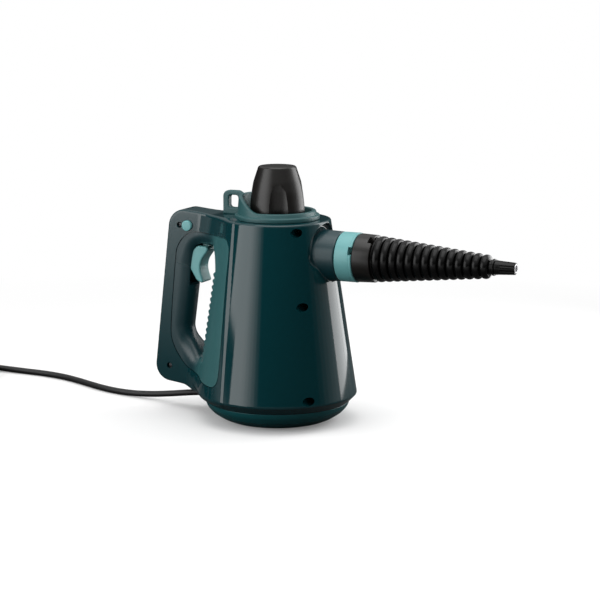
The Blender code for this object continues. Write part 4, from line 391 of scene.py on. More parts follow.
def make_materials():
    made = {"dark_teal": housing_plastic(), "felt": felt_cloth()}
    for name, (colour, roughness, *grain, specular) in PLASTICS.items():
        made[name] = surface(name, colour, roughness, grain, **PLASTIC_LOOK, specular=specular)
    for name, values in METALS.items():
        made[name] = surface(name, *values, METAL_GRAIN, **METAL_LOOK)
    return made


def dress_cad(materials):
    """Each CAD node's own slot gets the material of that name."""
    for item in frame["nodes"].values():
        for place in item.material_slots:
            name = place.material.name.split(".")[0] if place.material else ""
            place.material = materials.get(name, materials["nylon"])


# Shape tools

STRAIGHT_HALF = math.radians(89.5)
CORNER_SHARE = 0.48


class Corner:
    """One of an outline's corners (across, up, radius): its arc and where the arc meets the runs."""

    def __init__(self, corners, i):
        across, up, radius = corners[i]
        here = Vector((across, up))
        before = Vector(corners[i - 1][:2]) - here
        after = Vector(corners[(i + 1) % len(corners)][:2]) - here
        self.here = here
        self.half = before.angle(after) / 2
        limit = CORNER_SHARE * min(before.length, after.length)
        reach = min(radius / math.tan(self.half), limit)
        self.radius = reach * math.tan(self.half)
        before.normalize()
        after.normalize()
        self.middle = (before + after).normalized()
        self.centre = here + self.middle * (self.radius / math.sin(self.half))
        self.start = here + before * reach
        self.end = here + after * reach
        self.bulge = before.cross(after)


def rounded(corners, steps=8):
    """An outline whose corners (across, up, radius) are drawn as arcs."""
    found = []
    for i, (across, up, radius) in enumerate(corners):
        corner = Corner(corners, i)
        if not radius or corner.half > STRAIGHT_HALF:
            found.append((across, up))
            continue
        first = corner.start - corner.centre
        turn = first.angle_signed(corner.end - corner.centre)
        for k in range(steps + 1):
            found.append(tuple(corner.centre + Matrix.Rotation(-turn * k / steps, 2) @ first))
    return found


def spline_point(a, b, c, d, t):
    """A point between b and c, on a smooth curve through four points."""
    bend = (a * 2 - b * 5 + c * 4 - d) * (t * t)
    twist = (b * 3 - a - c * 3 + d) * (t * t * t)
    return (b * 2 + (c - a) * t + bend + twist) / 2


def closed_curve(points, parts):
    """A smooth closed outline through the points."""
    count = len(points)
    found = []
    for i in range(count):
        near = [Vector(points[(i + k) % count]) for k in (-1, 0, 1, 2)]
        found += [tuple(spline_point(*near, k / parts)) for k in range(parts)]
    return found


def new_object(name, points, faces):
    data = bpy.data.meshes.new(name)
    data.from_pydata([tuple(point) for point in np.asarray(points, float) * MM], [], faces)
    return linked(name, data)


def rings_mesh(name, rows):
    """A solid skinned over rows of points, each a ring or a single point, and back to the first row."""
    points = []
    index = []
    for row in rows:
        first = len(points)
        points += [tuple(point) for point in row]
        index.append([first + k for k in range(len(row))])
    faces = []
    for a, b in zip(index, index[1:] + index[:1]):
        count = max(len(a), len(b))
        if count == 1:
            continue
        for i in range(count):
            j = (i + 1) % count
            corners = [a[i % len(a)], a[j % len(a)], b[j % len(b)], b[i % len(b)]]
            faces.append(list(dict.fromkeys(corners)))
    return new_object(name, points, faces)


def placed_on(axis, across, up, along, at):
    """A point of a turned shape, its axis along X, Y or Z through a place."""
    x, y, z = {
        "Z": (across, up, along),
        "X": (along, across, up),
        "Y": (up, along, across),
    }[axis]
    return x + at[0], y + at[1], z + at[2]


def turned(name, profile, count=128, axis="Z", at=(0, 0, 0)):
    """A turned solid: the closed profile gives each point's radius and its place along the axis."""
    area = sum(a[0] * b[1] - b[0] * a[1] for a, b in zip(profile, profile[1:] + profile[:1]))
    if area < 0:
        profile = profile[::-1]
    rows = []
    for radius, along in profile:
        if radius <= 0:
            rows.append([placed_on(axis, 0, 0, along, at)])
            continue
        row = []
        for i in range(count):
            angle = math.tau * i / count
            row.append(placed_on(axis, radius * math.cos(angle), radius * math.sin(angle), along, at))
        rows.append(row)
    return rings_mesh(name, rows)


def rod(radius, low, high, inner=0):
    """The profile of a rod, or of a tube if it has an inner radius."""
    return [(inner, low), (radius, low), (radius, high), (inner, high)]


def box(name, low, high):
    points = [(x, y, z) for x in (low[0], high[0]) for y in (low[1], high[1]) for z in (low[2], high[2])]
    faces = [(0, 1, 3, 2), (4, 6, 7, 5), (0, 4, 5, 1), (2, 3, 7, 6), (0, 2, 6, 4), (1, 5, 7, 3)]
    return new_object(name, points, faces)


def combined(target, others, operation="DIFFERENCE"):
    """Cuts the others from the target, or joins them to it, and uses them up."""
    for other in others:
        step = target.modifiers.new(other.name, "BOOLEAN")
        step.operation = operation
        step.solver = "MANIFOLD"
        step.object = other
    graph = bpy.context.evaluated_depsgraph_get()
    made = bpy.data.meshes.new_from_object(target.evaluated_get(graph))
    target.modifiers.clear()
    old = target.data
    target.data = made
    bpy.data.meshes.remove(old)
    for other in others:
        bpy.data.objects.remove(other)
    return target


def finished(piece, nodes, material, sharp_deg=32):
    """Gives a piece its finish, and lets it stand for CAD nodes of one body."""
    data = piece.data
    data.materials.clear()
    data.materials.append(material)
    data.shade_smooth()
    data.set_sharp_from_angle(angle=math.radians(sharp_deg))
    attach(piece, body_of(frame["nodes"][nodes[0]])[0])
    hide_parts(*nodes)
    return piece


# Surfaces from a signed distance


def round_edge(a, b, radius):
    """Where two solids meet, a convex edge of this radius."""
    corner = np.hypot(np.maximum(a + radius, 0), np.maximum(b + radius, 0))
    return np.minimum(-radius, np.maximum(a, b)) + corner


def round_joint(a, b, radius):
    """Two solids joined with a concave fillet of this radius."""
    corner = np.hypot(np.maximum(radius - a, 0), np.maximum(radius - b, 0))
    return np.maximum(radius, np.minimum(a, b)) - corner


def eased(low, high, value):
    """A smooth step from 0 to 1, between a low and a high value."""
    share = np.clip((value - low) / (high - low), 0, 1)
    return share * share * (3 - 2 * share)


class Outline:
    """A closed outline of straight runs and arcs, from corners (across, up, radius)."""

    def __init__(self, corners):
        self.corners = [Corner(corners, i) for i in range(len(corners))]
        following = self.corners[1:] + self.corners[:1]
        area = sum(a.here.cross(b.here) for a, b in zip(self.corners, following))
        self.turn = 1 if area > 0 else -1
        self.runs = [(a.end, b.start) for a, b in zip(self.corners, following)]

    def distance(self, x, z):
        """Signed distance, below zero inside."""
        best = np.full(np.shape(x), 1e6)
        for start, end in self.runs:
            ex, ez = end - start
            size = math.hypot(ex, ez)
            dx, dz = x - start.x, z - start.y
            along = np.clip((dx * ex + dz * ez) / size**2, 0, 1)
            away = np.hypot(dx - ex * along, dz - ez * along)
            value = np.where(self.turn * (ex * dz - ez * dx) > 0, -away, away)
            best = np.where(np.abs(value) < np.abs(best), value, best)
        for corner in self.corners:
            dx, dz = x - corner.centre.x, z - corner.centre.y
            away = np.hypot(dx, dz)
            value = (away - corner.radius) * (-1 if corner.bulge * self.turn > 0 else 1)
            within = -dx * corner.middle.x - dz * corner.middle.y >= away * math.sin(corner.half)
            best = np.where(within & (np.abs(value) < np.abs(best)), value, best)
        return best


TETRAHEDRON = np.array(((1, 1, 1), (1, -1, -1), (-1, 1, -1), (-1, -1, 1)), float)


def slope_at(distance, points, offset=0.04):
    """A field's value and slope at points, from four samples round each."""
    samples = [distance(points + way * offset) for way in TETRAHEDRON]
    slope = sum(value[:, None] * way for value, way in zip(samples, TETRAHEDRON))
    return sum(samples) / 4, slope / (4 * offset)


def unit(vectors):
    return vectors / np.maximum(np.linalg.norm(vectors, axis=1, keepdims=True), 1e-6)


def settled(distance, points, reach, rounds=2):
    """Points moved onto a field's zero surface."""
    for _ in range(rounds):
        value, slope = slope_at(distance, points)
        steep = np.maximum((slope**2).sum(1), 0.2)
        points = points - slope * np.clip(value / steep, -reach, reach)[:, None]
    return points


def surface_of(values):
    """The zero surface of a sampled field: one point for each mixed cell, one face for each crossing."""
    inside = values < 0
    cells = np.array(values.shape) - 1
    corners = [(i, j, k) for i in (0, 1) for j in (0, 1) for k in (0, 1)]

    def at(array, corner):
        i, j, k = corner
        return array[i : i + cells[0], j : j + cells[1], k : k + cells[2]]

    count = sum(at(inside, corner).astype(np.int8) for corner in corners)
    mixed_cells = (count > 0) & (count < 8)
    index = np.full(mixed_cells.shape, -1)
    index[mixed_cells] = np.arange(mixed_cells.sum())
    place = np.argwhere(mixed_cells)
    total = np.zeros(place.shape)
    crossings = np.zeros(len(place))
    for axis in range(3):
        for corner in corners:
            if corner[axis]:
                continue
            other = list(corner)
            other[axis] = 1
            a = at(values, corner)[mixed_cells]
            b = at(values, other)[mixed_cells]
            cross = (a < 0) != (b < 0)
            point = np.tile(np.array(corner, float), (cross.sum(), 1))
            point[:, axis] = a[cross] / (a[cross] - b[cross])
            total[cross] += point
            crossings[cross] += 1
    points = place + total / crossings[:, None]
    faces = []
    for axis in range(3):
        side, up = (axis + 1) % 3, (axis + 2) % 3
        first = np.take(inside, range(values.shape[axis] - 1), axis)
        second = np.take(inside, range(1, values.shape[axis]), axis)
        for grows in (True, False):
            edge = np.argwhere(first & ~second if grows else ~first & second)
            quad = []
            for shift in ((0, 0), (1, 0), (1, 1), (0, 1)):
                cell = edge.copy()
                cell[:, side] -= 1 - shift[0]
                cell[:, up] -= 1 - shift[1]
                quad.append(index[tuple(cell.T)])
            quad = np.stack(quad, axis=1)
            faces.append(quad if grows else quad[:, ::-1])
    return points, np.concatenate(faces)


def field_solid(name, distance, low, high, step):
    """A small solid from its signed distance, a function of points."""
    axes = [np.arange(a, b, step) for a, b in zip(low, high)]
    grid = np.stack(np.meshgrid(*axes, indexing="ij"), axis=-1)
    values = distance(grid.reshape(-1, 3)).reshape(grid.shape[:3])
    points, faces = surface_of(values)
    points = settled(distance, np.array(low) + points * step, step)
    return new_object(name, points, faces.tolist())


def numbers_of(items, name, width=1, kind=float):
    """One property of all of a mesh's points, faces or corners."""
    found = np.empty(len(items) * width, kind)
    items.foreach_get(name, found)
    return found.reshape(-1, width) if width > 1 else found


def keep_field_normals(piece, distance, agree_deg=32):
    """Shades a piece's faces by the field's slope, where they lie on the field's surface."""
    data = piece.data
    _, slope = slope_at(distance, numbers_of(data.vertices, "co", 3) / MM)
    sizes = numbers_of(data.polygons, "loop_total", kind=int)
    face_way = np.repeat(numbers_of(data.polygons, "normal", 3), sizes, axis=0)
    way = unit(slope)[numbers_of(data.loops, "vertex_index", kind=int)]
    near = (way * face_way).sum(1) > math.cos(math.radians(agree_deg))
    data.normals_split_custom_set(np.where(near[:, None], way, 0).tolist())


# Housing


def hole_wall_x(z):
    (top_x, top_z), (foot_x, foot_z) = HOLE_WALL_TOP, HOLE_WALL_FOOT
    return foot_x + (top_x - foot_x) * (z - foot_z) / (top_z - foot_z)


class Housing:
    """The housing's outer shape as a signed distance, without the holes that are cut afterwards."""

    def __init__(self):
        self.handle = Outline(HANDLE_CORNERS)
        self.hole = Outline(HOLE_CORNERS)
        self.panel = Outline([(x, z, 0) for x, z in closed_curve(PANEL_OUTLINE, 6)])

    def cone(self, radius, z):
        rise, run = CONE_TOP_Z - CONE_SKIRT_Z, CONE_SKIRT_RADIUS - CONE_RIM_RADIUS
        side = ((radius - CONE_SKIRT_RADIUS) * rise + (z - CONE_SKIRT_Z) * run) / math.hypot(rise, run)
        whole = round_edge(side, z - CONE_TOP_Z, RIM_FILLET)
        drop, reach = CONE_SKIRT_Z - CONE_BASE_Z, CONE_SKIRT_RADIUS - CONE_BASE_RADIUS
        under = ((radius - CONE_SKIRT_RADIUS) * drop - (z - CONE_SKIRT_Z) * reach) / math.hypot(drop, reach)
        return np.maximum(round_edge(whole, under, SKIRT_FILLET), CONE_BASE_Z - BASE_SPARE - z)

    def outlines(self, x, z):
        """Distances to the handle's and the hole's outlines, and the rounding at the hole's edge."""
        handle = self.handle.distance(x, z)
        hole = self.hole.distance(x, z)
        turns = (TOOTH_TOP_Z + TOOTH_PITCH / 2 - z) / TOOTH_PITCH
        along = eased(-TOOTH_END, TOOTH_END, turns) * eased(-TOOTH_END, TOOTH_END, TOOTH_COUNT - turns)
        near = 1 - eased(*TOOTH_REACH, hole_wall_x(z) - x)
        hole = hole + TOOTH_HEIGHT * np.abs(np.sin(math.pi * turns)) * along * near
        flare = eased(*FLARE_FADE, hole_wall_x(z) - x) * (1 - FLARE_TOP_LOSS * eased(*FLARE_TOP_Z, z))
        return handle, hole, HOLE_EDGE + (HOLE_FLARE - HOLE_EDGE) * flare

    def join(self, handle, hole, flare, x, y, z):
        cone = self.cone(np.hypot(x, y), z)
        wide = round_joint(np.abs(y) - HANDLE_HALF_WIDTH, cone, HANDLE_SWEEP)
        slab = round_edge(handle, wide, HANDLE_ROUNDING)
        whole = round_joint(slab, cone, HANDLE_JOINT)
        whole = round_edge(whole, -hole, flare)
        across = np.hypot(y, z - NOZZLE_Z)
        floor_x = MOAT_X + MOAT_FADE * eased(0, MOAT_RADIUS - MOAT_HALF, NOZZLE_Z - z)
        moat = np.hypot(across - MOAT_RADIUS, np.minimum(x - floor_x, 0)) - MOAT_HALF
        whole = round_edge(whole, -moat, MOAT_EDGE)
        fall = (COLLAR_ROOT_RADIUS - COLLAR_END_RADIUS) / (COLLAR_END_X - COLLAR_ROOT_X)
        tube = (across - COLLAR_ROOT_RADIUS + (x - COLLAR_ROOT_X) * fall) / math.hypot(1, fall)
        collar = np.maximum(round_edge(tube, x - COLLAR_END_X, COLLAR_EDGE), -x)
        return round_joint(whole, collar, COLLAR_BLEND)

    def distance(self, points):
        x, y, z = points.T
        return self.join(*self.outlines(x, z), x, y, z)

    def skin(self, name, step, level):
        """The surface that lies a level outside the housing's own."""
        low = np.array(SKIN_LOW)
        x, y, z = (np.arange(a, b, step) for a, b in zip(low, SKIN_HIGH))
        flat_x, flat_z = np.meshgrid(x, z, indexing="ij")
        flat = [value[:, None, :] for value in self.outlines(flat_x, flat_z)]
        values = self.join(*flat, x[:, None, None], y[None, :, None], z[None, None, :]) - level
        points, faces = surface_of(values)
        points = low + points * step
        if not level:
            points = settled(self.distance, points, step)
        return new_object(name, points, faces.tolist())

    def satin(self, points):
        """Distance to the satin fields: the one round the finger hole, and the collar."""
        x, y, z = points.T
        collar = np.maximum(np.hypot(y, z - NOZZLE_Z) - COLLAR_SATIN_RADIUS, COLLAR_SATIN_X - x)
        return np.minimum(self.panel.distance(x, z), collar)

    def grip(self, points):
        """1 on the grip, where it brings painted shade, and on the collar, where it brings the collar's own
        dark teal; falling to 0 on the satin field in front of the fingers.
        """
        x, _, z = points.T
        edge = hole_wall_x(z) - GRIP_SHADE_GAP
        return np.where(x > 0, 1, eased(-GRIP_SHADE_FADE, GRIP_SHADE_FADE, edge - x))

    def panel_line(self, side):
        """Places on the housing's side that the panel's outline meets, and the ways out there."""
        line = [corner.here for corner in self.panel.corners]
        points = np.array([(place.x, side * SIDE_START, place.y) for place in line])
        for _ in range(SIDE_ROUNDS):
            points[:, 1] -= side * self.distance(points)
        _, slope = slope_at(self.distance, points)
        return points, unit(slope)


def ribbon(name, points, ways, width, depth):
    """A closed band along a line on a surface, to cut a groove of this width and depth."""
    tangents = unit(np.roll(points, -1, axis=0) - np.roll(points, 1, axis=0))
    across = unit(np.cross(tangents, ways))
    rows = []
    for place, out, side in zip(points, ways, across):
        half = side * (width / 2)
        high = place + out * GROOVE_SPARE
        low = place - out * depth
        rows.append([high + half, high - half, low - half, low + half])
    return pointing_out(rings_mesh(name, rows))


def pointing_out(piece):
    shape = bmesh.new()
    shape.from_mesh(piece.data)
    bmesh.ops.recalc_face_normals(shape, faces=shape.faces)
    if shape.calc_volume(signed=True) < 0:
        bmesh.ops.reverse_faces(shape, faces=shape.faces)
    shape.to_mesh(piece.data)
    shape.free()
    return piece


def housing_cutters(shape):
    found = [
        turned("base_cut", rod(BEYOND, CONE_BASE_Z - 2 * BASE_SPARE, CONE_BASE_Z), 64),
        turned("mouth_cut", rod(MOUTH_RADIUS, *MOUTH_SPAN), 160),
        turned("bore_cut", rod(COLLAR_BORE, *BORE_SPAN), 128, "X", NOZZLE_AT),
        box("trigger_cut", *TRIGGER_SLOT),
        turned("lock_cut", rod(LOCK_RADIUS + SEAT, -BEYOND, BEYOND), 64, "Y", (LOCK_X, 0, LOCK_Z)),
        turned("pin_cut", rod(PIN_RADIUS + SEAT, -PIN_HALF, PIN_HALF), 32, "Y", PIVOT),
    ]
    for i, (x, z, radius) in enumerate(SCREWS):
        wide = radius + SCREW_PLAY
        profile = [(0, -BEYOND), (wide, -BEYOND), (wide, SCREW_SEAT_Y)]
        profile += [(SCREW_SHANK, SCREW_SEAT_Y), (SCREW_SHANK, SCREW_TIP_Y), (0, SCREW_TIP_Y)]
        found.append(turned(f"screw_cut_{i}", profile, 48, "Y", (x, 0, z)))
    for side in (-1, 1):
        found.append(ribbon(f"panel_cut_{side}", *shape.panel_line(side), GROOVE_WIDTH, GROOVE_DEPTH))
    return found


def make_housing(material):
    shape = Housing()
    outer = shape.skin("housing_outer", HOUSING_STEP, 0)
    cavity = shape.skin("housing_cavity", CAVITY_STEP, -HOUSING_WALL)
    posts = [
        turned(f"boss_{i}", rod(radius + BOSS_MARGIN, -BEYOND, BEYOND), 32, "Y", (x, 0, z))
        for i, (x, z, radius) in enumerate(SCREWS)
    ]
    for side in (-1, 1):
        low, high = sorted((side * EAR_GAP, side * BEYOND))
        posts.append(turned(f"ear_{side}", rod(EAR_RADIUS, low, high), 32, "Y", PIVOT))
    posts.append(box("slot_walls", *TRIGGER_WALLS))
    combined(cavity, posts)
    combined(outer, [cavity, *housing_cutters(shape)])
    for node in ("shell_right", "shell_left"):
        low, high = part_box(node)
        near = low[1] + high[1] < 0
        half = linked("housing_half_near" if near else "housing_half_far", outer.data.copy())
        first, last = (-BEYOND, -SPLIT_HALF) if near else (SPLIT_HALF, BEYOND)
        combined(half, [box("half", (-2 * BEYOND, first, 0), (BEYOND, last, 2 * BEYOND))], "INTERSECT")
        places = numbers_of(half.data.vertices, "co", 3) / MM
        # The grip field carries the painted shade on the grip and the collar's own darker teal
        for name, values in (("satin", shape.satin(places)), ("grip", shape.grip(places))):
            field = half.data.attributes.new(name, "FLOAT", "POINT")
            field.data.foreach_set("value", values)
        finished(half, [node], material)
        keep_field_normals(half, shape.distance)
    bpy.data.objects.remove(outer)


# Pieces round the housing

BOWL_OUTSIDE = ((51.6, 0.9, 0.8), (57.5, 3.4, 10), (65.4, 8.4, 12), (71, 14.4, 10), (72.5, 19.2, 0.4))
TONGUE_OUTSIDE = CONE_BASE_RADIUS - HOUSING_WALL - SEAT
TONGUE_INSIDE = TONGUE_OUTSIDE - 1.6
BOWL_INSIDE = (
    (TONGUE_OUTSIDE, 19.2, 0),
    (TONGUE_OUTSIDE, 25, 0.3),
    (TONGUE_INSIDE, 25, 0.3),
    (TONGUE_INSIDE, 19.2, 0),
    (68.3, 15.2, 8),
    (62.7, 10.4, 8),
    (55, 5.4, 2),
    (0, 5.4, 0),
    (0, 3, 0),
    (49.3, 3, 0),
    (49.3, 0.9, 0),
)
POST_RADIUS = 2.6
POST_SPAN = (4.5, 8.4)
POST_Y = 4
PAD_GROOVES = (18, 27, 36)
PAD_GROOVE_WIDTH = 1.2
PAD_GROOVE_DEPTH = 0.6
GLAND_AT = (0, 12, 14)
GLAND_HOLE = 5.5
GLAND_HOLE_SPAN = (-80, -50)


def make_base_cover(material):
    cover = turned("bowl_cover", rounded(BOWL_OUTSIDE + BOWL_INSIDE, 6), 192)
    low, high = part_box("terminal_block")
    at = ((low[0] + high[0]) / 2 / MM, POST_Y, 0)
    combined(cover, [turned("block_post", rod(POST_RADIUS, *POST_SPAN), 32, at=at)], "UNION")
    combined(cover, [turned("gland_cut", rod(GLAND_HOLE, *GLAND_HOLE_SPAN), 48, "X", GLAND_AT)])
    finished(cover, ["base_cover"], material)


def make_foot_pad(material):
    pad = turned("grip_pad", rounded([(0, 0, 0), (49, 0, 0.7), (49, 2.7, 0), (0, 2.7, 0)], 4), 128)
    grooves = []
    for inner in PAD_GROOVES:
        profile = rod(inner + PAD_GROOVE_WIDTH, -1, PAD_GROOVE_DEPTH, inner)
        grooves.append(turned(f"pad_groove_{inner}", profile, 96))
    combined(pad, grooves)
    finished(pad, ["foot_pad"], material)


RING_STEPS = 240
RING_CREST_Z = 211.2
RING_REAR_RISE = 14.8
RING_RISE_START = 0.1
EYE_OUTSIDE = ((-36.5, 204, 0.5), (-36.5, 224.5, 0.5), (-42, 228, 6), (-58.6, 228, 6), (-58.6, 204, 0.5))
EYE_INSIDE = ((-52.3, 211, 3), (-41.6, 211, 3), (-41.6, 223.6, 3), (-52.3, 223.6, 3))
EYE_HALF = 4
EYE_BOX = ((-60, -5.2, 202.5), (-35, 5.2, 229))


def ring_crest(angle):
    """The height of the ring's wall: it rises towards the rear."""
    return RING_CREST_Z + RING_REAR_RISE * eased(RING_RISE_START, 1, -math.cos(angle))


def ring_profile(crest):
    corners = [
        (17.4, 202.9, 0),
        (32.1, 202.9, 0),
        (32.1, 199.5, 0),
        (33.7, 199.5, 0),
        (33.7, 202.9, 0),
        (42.2, 202.9, 0.3),
        (42.2, 206.9, 1.1),
        (39.6, 207.2, 0.7),
        (38.2, crest, 1.5),
        (34.2, crest, 1.5),
        (32.8, 204.9, 1.4),
        (17.4, 204.9, 0),
    ]
    return rounded(corners, 4)


def make_top_ring(material):
    """The collar round the cap, with the hanging eye at its rear."""
    rows = []
    for i in range(RING_STEPS):
        angle = math.tau * i / RING_STEPS
        profile = ring_profile(ring_crest(angle))
        rows.append([(r * math.cos(angle), r * math.sin(angle), z) for r, z in profile])
    ring = pointing_out(rings_mesh("cap_ring", rows))
    outer = Outline(EYE_OUTSIDE)
    inner = Outline(EYE_INSIDE)

    def eye(points):
        x, y, z = points.T
        loop = round_edge(outer.distance(x, z), -inner.distance(x, z), 1.2)
        return round_edge(loop, np.abs(y) - EYE_HALF, 1.3)

    combined(ring, [field_solid("eye", eye, *EYE_BOX, 0.5)], "UNION")
    finished(ring, ["top_ring"], material)


CAP_FOOT_Z = 208.4
CAP_ROOF_Z = 236
CAP_BORE = 16.4
CAP_OUTSIDE = [
    (28, CAP_FOOT_Z, 0.5),
    (28.5, 209.4, 0.8),
    (27.9, 218, 30),
    (26.1, 230, 60),
    (23.5, 240, 60),
    (20.3, 249.6, 40),
    (18.9, 253.9, 2.4),
    (17.6, 254.9, 1.6),
    (0, 255, 0),
]
SCOOP_OUTLINE = ((0, 205, 0), (15.3, 205, 0), (15.8, 232, 30), (15.2, 240, 6), (11, 244, 4), (0, 247, 0))
SCOOP_COUNT = 4
SCOOP_FIRST_DEG = -62
SCOOP_REACH = 38.9


def make_cap(material):
    seal_radius, _, seal_top = (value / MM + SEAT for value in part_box("cap_gasket")[1])
    inside = [(0, CAP_ROOF_Z, 0), (CAP_BORE, CAP_ROOF_Z, 0.5), (CAP_BORE, seal_top, 0)]
    inside += [(seal_radius, seal_top, 0), (seal_radius, CAP_FOOT_Z, 0)]
    cap = turned("safety_cap", rounded(CAP_OUTSIDE + inside, 8), 192)
    cuts = []
    for i in range(SCOOP_COUNT):
        angle = math.radians(SCOOP_FIRST_DEG + 360 / SCOOP_COUNT * i)
        at = (SCOOP_REACH * math.cos(angle), SCOOP_REACH * math.sin(angle), 0)
        cuts.append(turned(f"scoop_{i}", rounded(SCOOP_OUTLINE, 6), 96, at=at))
    combined(cap, cuts)
    finished(cap, ["cap_shell"], material, 40)
    frame["nodes"]["cap_plug"].material_slots[0].material = material


TRIGGER_CORNERS = (
    (-70.6, 170, 3), (-84.6, 151, 20), (-77.6, 131, 2.2), (-86.5, 135.5, 6),
    (-94, 148, 8), (-93, 164, 8), (-85, 171, 6),
)
TRIGGER_HALF = 10
TRIGGER_ROUNDING = 1.8
TRIGGER_BOX = ((-97, -11.5, 128.5), (-67, 11.5, 173))
LEVER_BOSS = 5.2
LEVER_HALF = 4
ARM_X = (-81.4, -75)
ARM_FOOT_Z = 168


def make_trigger(material):
    side = Outline(TRIGGER_CORNERS)

    def lever(points):
        x, y, z = points.T
        return round_edge(side.distance(x, z), np.abs(y) - TRIGGER_HALF, TRIGGER_ROUNDING)

    piece = field_solid("steam_trigger", lever, *TRIGGER_BOX, 0.6)
    boss = turned("boss", rod(LEVER_BOSS, -LEVER_HALF, LEVER_HALF), 48, "Y", PIVOT)
    arm_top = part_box("trigger")[1][2] / MM
    arm = box("arm", (ARM_X[0], -LEVER_HALF, ARM_FOOT_Z), (ARM_X[1], LEVER_HALF, arm_top))
    combined(piece, [boss, arm], "UNION")
    combined(piece, [turned("pin_hole", rod(PIN_RADIUS + SEAT, -BEYOND, BEYOND), 32, "Y", PIVOT)])
    finished(piece, ["trigger"], material, 40)


def make_lock(material):
    outer = HANDLE_HALF_WIDTH
    inner = outer - LOCK_DEPTH
    corners = [
        (0, -outer - LOCK_PROUD, 0),
        (LOCK_RADIUS, -outer - LOCK_PROUD, 1.1),
        (LOCK_RADIUS, -inner, 0.3),
        (LOCK_SHAFT, -inner, 0.3),
        (LOCK_SHAFT, inner, 0.3),
        (LOCK_RADIUS, inner, 0.3),
        (LOCK_RADIUS, outer, 0.9),
        (0, outer, 0),
    ]
    button = turned("child_lock", rounded(corners, 5), 96, "Y", (LOCK_X, 0, LOCK_Z))
    finished(button, ["lock_button"], material)


SCREW_HEAD_PLAY = 0.5
SCREW_HEAD_HEIGHT = 2.3
SCREW_BODY = 1.3
DRIVE_HALF = 0.45
DRIVE_SHARE = 0.62
DRIVE_DEPTH = 1.1


def make_screws(material):
    """Countersunk heads with a crossed drive, deep in their holes."""
    top = SCREW_SEAT_Y - SCREW_HEAD_HEIGHT
    seat = SCREW_SEAT_Y - SEAT
    for i, (x, z, radius) in enumerate(SCREWS):
        head = radius - SCREW_HEAD_PLAY
        corners = [
            (0, top, 0),
            (head, top, 1),
            (head, seat, 0.2),
            (SCREW_BODY, seat, 0),
            (SCREW_BODY, SCREW_TIP_Y - 3, 0),
            (0, SCREW_TIP_Y - 1.3, 0),
        ]
        screw = turned(f"housing_screw_piece_{i + 1}", rounded(corners, 4), 40, "Y", (x, 0, z))
        cross = []
        for across, up in ((DRIVE_SHARE * head, DRIVE_HALF), (DRIVE_HALF, DRIVE_SHARE * head)):
            low = (x - across, top - 1, z - up)
            high = (x + across, top + DRIVE_DEPTH, z + up)
            cross.append(box(f"slot_{i}_{len(cross)}", low, high))
        combined(screw, cross)
        finished(screw, [f"housing_screw_{i + 1}"], material)


NOZZLE_RING_OUTLINE = (
    (16.2, 68.7, 0.3), (21.2, 68.7, 0.3), (21.2, 71.8, 0), (23.9, 71.8, 0.5),
    (24.4, 72.6, 0.5), (24.4, 86.2, 0.5), (24.1, 87, 0.4), (24.5, 87.6, 0.4),
    (24.5, 88.6, 0.6), (24.0, 89.5, 0.4), (16.2, 89.5, 0.3),
)
RING_NOTCH = ((86, -30, NOZZLE_Z + 5.4), (92, -15, NOZZLE_Z + 13))
CONNECTOR_OUTLINE = (
    (11.6, 62, 0.4), (15.4, 62, 0.8), (15.4, 66.5, 0.2), (13.8, 66.5, 0.2),
    (13.8, 69.5, 0.2), (15.4, 69.5, 0.2), (15.4, 89.8, 0), (23.2, 89.8, 0.5),
    (23.9, 90.8, 0.6), (23.6, 98, 0), (23.2, 108, 0.9), (11.6, 108, 0.4),
)
CONNECTOR_NOTCH = ((103.6, -15.5, NOZZLE_Z + 15), (110, -7, NOZZLE_Z + 27))
RIB_COUNT = 14
RIB_PITCH = 8.2
RIB_START_X = 109.6
RIB_REAR_RADIUS = 22.4
RIB_FRONT_RADIUS = 11.7
RIB_DEPTH = 3.4
RIB_STEPS = 16
RIB_SHARE = 0.47
RIB_POWER = 0.72
NECK_X = RIB_START_X + RIB_COUNT * RIB_PITCH + 2.6
NECK_RADIUS = 7
NECK_COLLAR = 2.4
TIP_FALL = 1.2
FLUTE_COUNT = 8
FLUTE_REACH = 7.75
FLUTE_OUTLINE = ((0, 3, 0), (1.5, 6, 2), (1.5, 26, 0), (0, 26, 0))


def make_nozzle(materials):
    ring = turned("collar_ring", rounded(NOZZLE_RING_OUTLINE, 5), 160, "X", NOZZLE_AT)
    combined(ring, [box("notch", *RING_NOTCH)])
    finished(ring, ["nozzle_ring"], materials["turquoise"])
    grip = turned("pull_connector", rounded(CONNECTOR_OUTLINE, 5), 160, "X", NOZZLE_AT)
    combined(grip, [box("top_notch", *CONNECTOR_NOTCH)])
    finished(grip, ["nozzle_connector"], materials["cap_black"])
    make_ribbed_cone(materials["nozzle_black"])
    make_tip(materials["nozzle_black"])
    low, high = (corner[0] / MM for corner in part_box("nozzle_insert"))
    sleeve = [(3.3, low, 0.2), (4.4, low, 0.2), (4.4, high, 0.5), (3.3, high, 0.4)]
    insert = turned("steam_outlet", rounded(sleeve, 4), 64, "X", NOZZLE_AT)
    finished(insert, ["nozzle_insert"], materials["steel"])


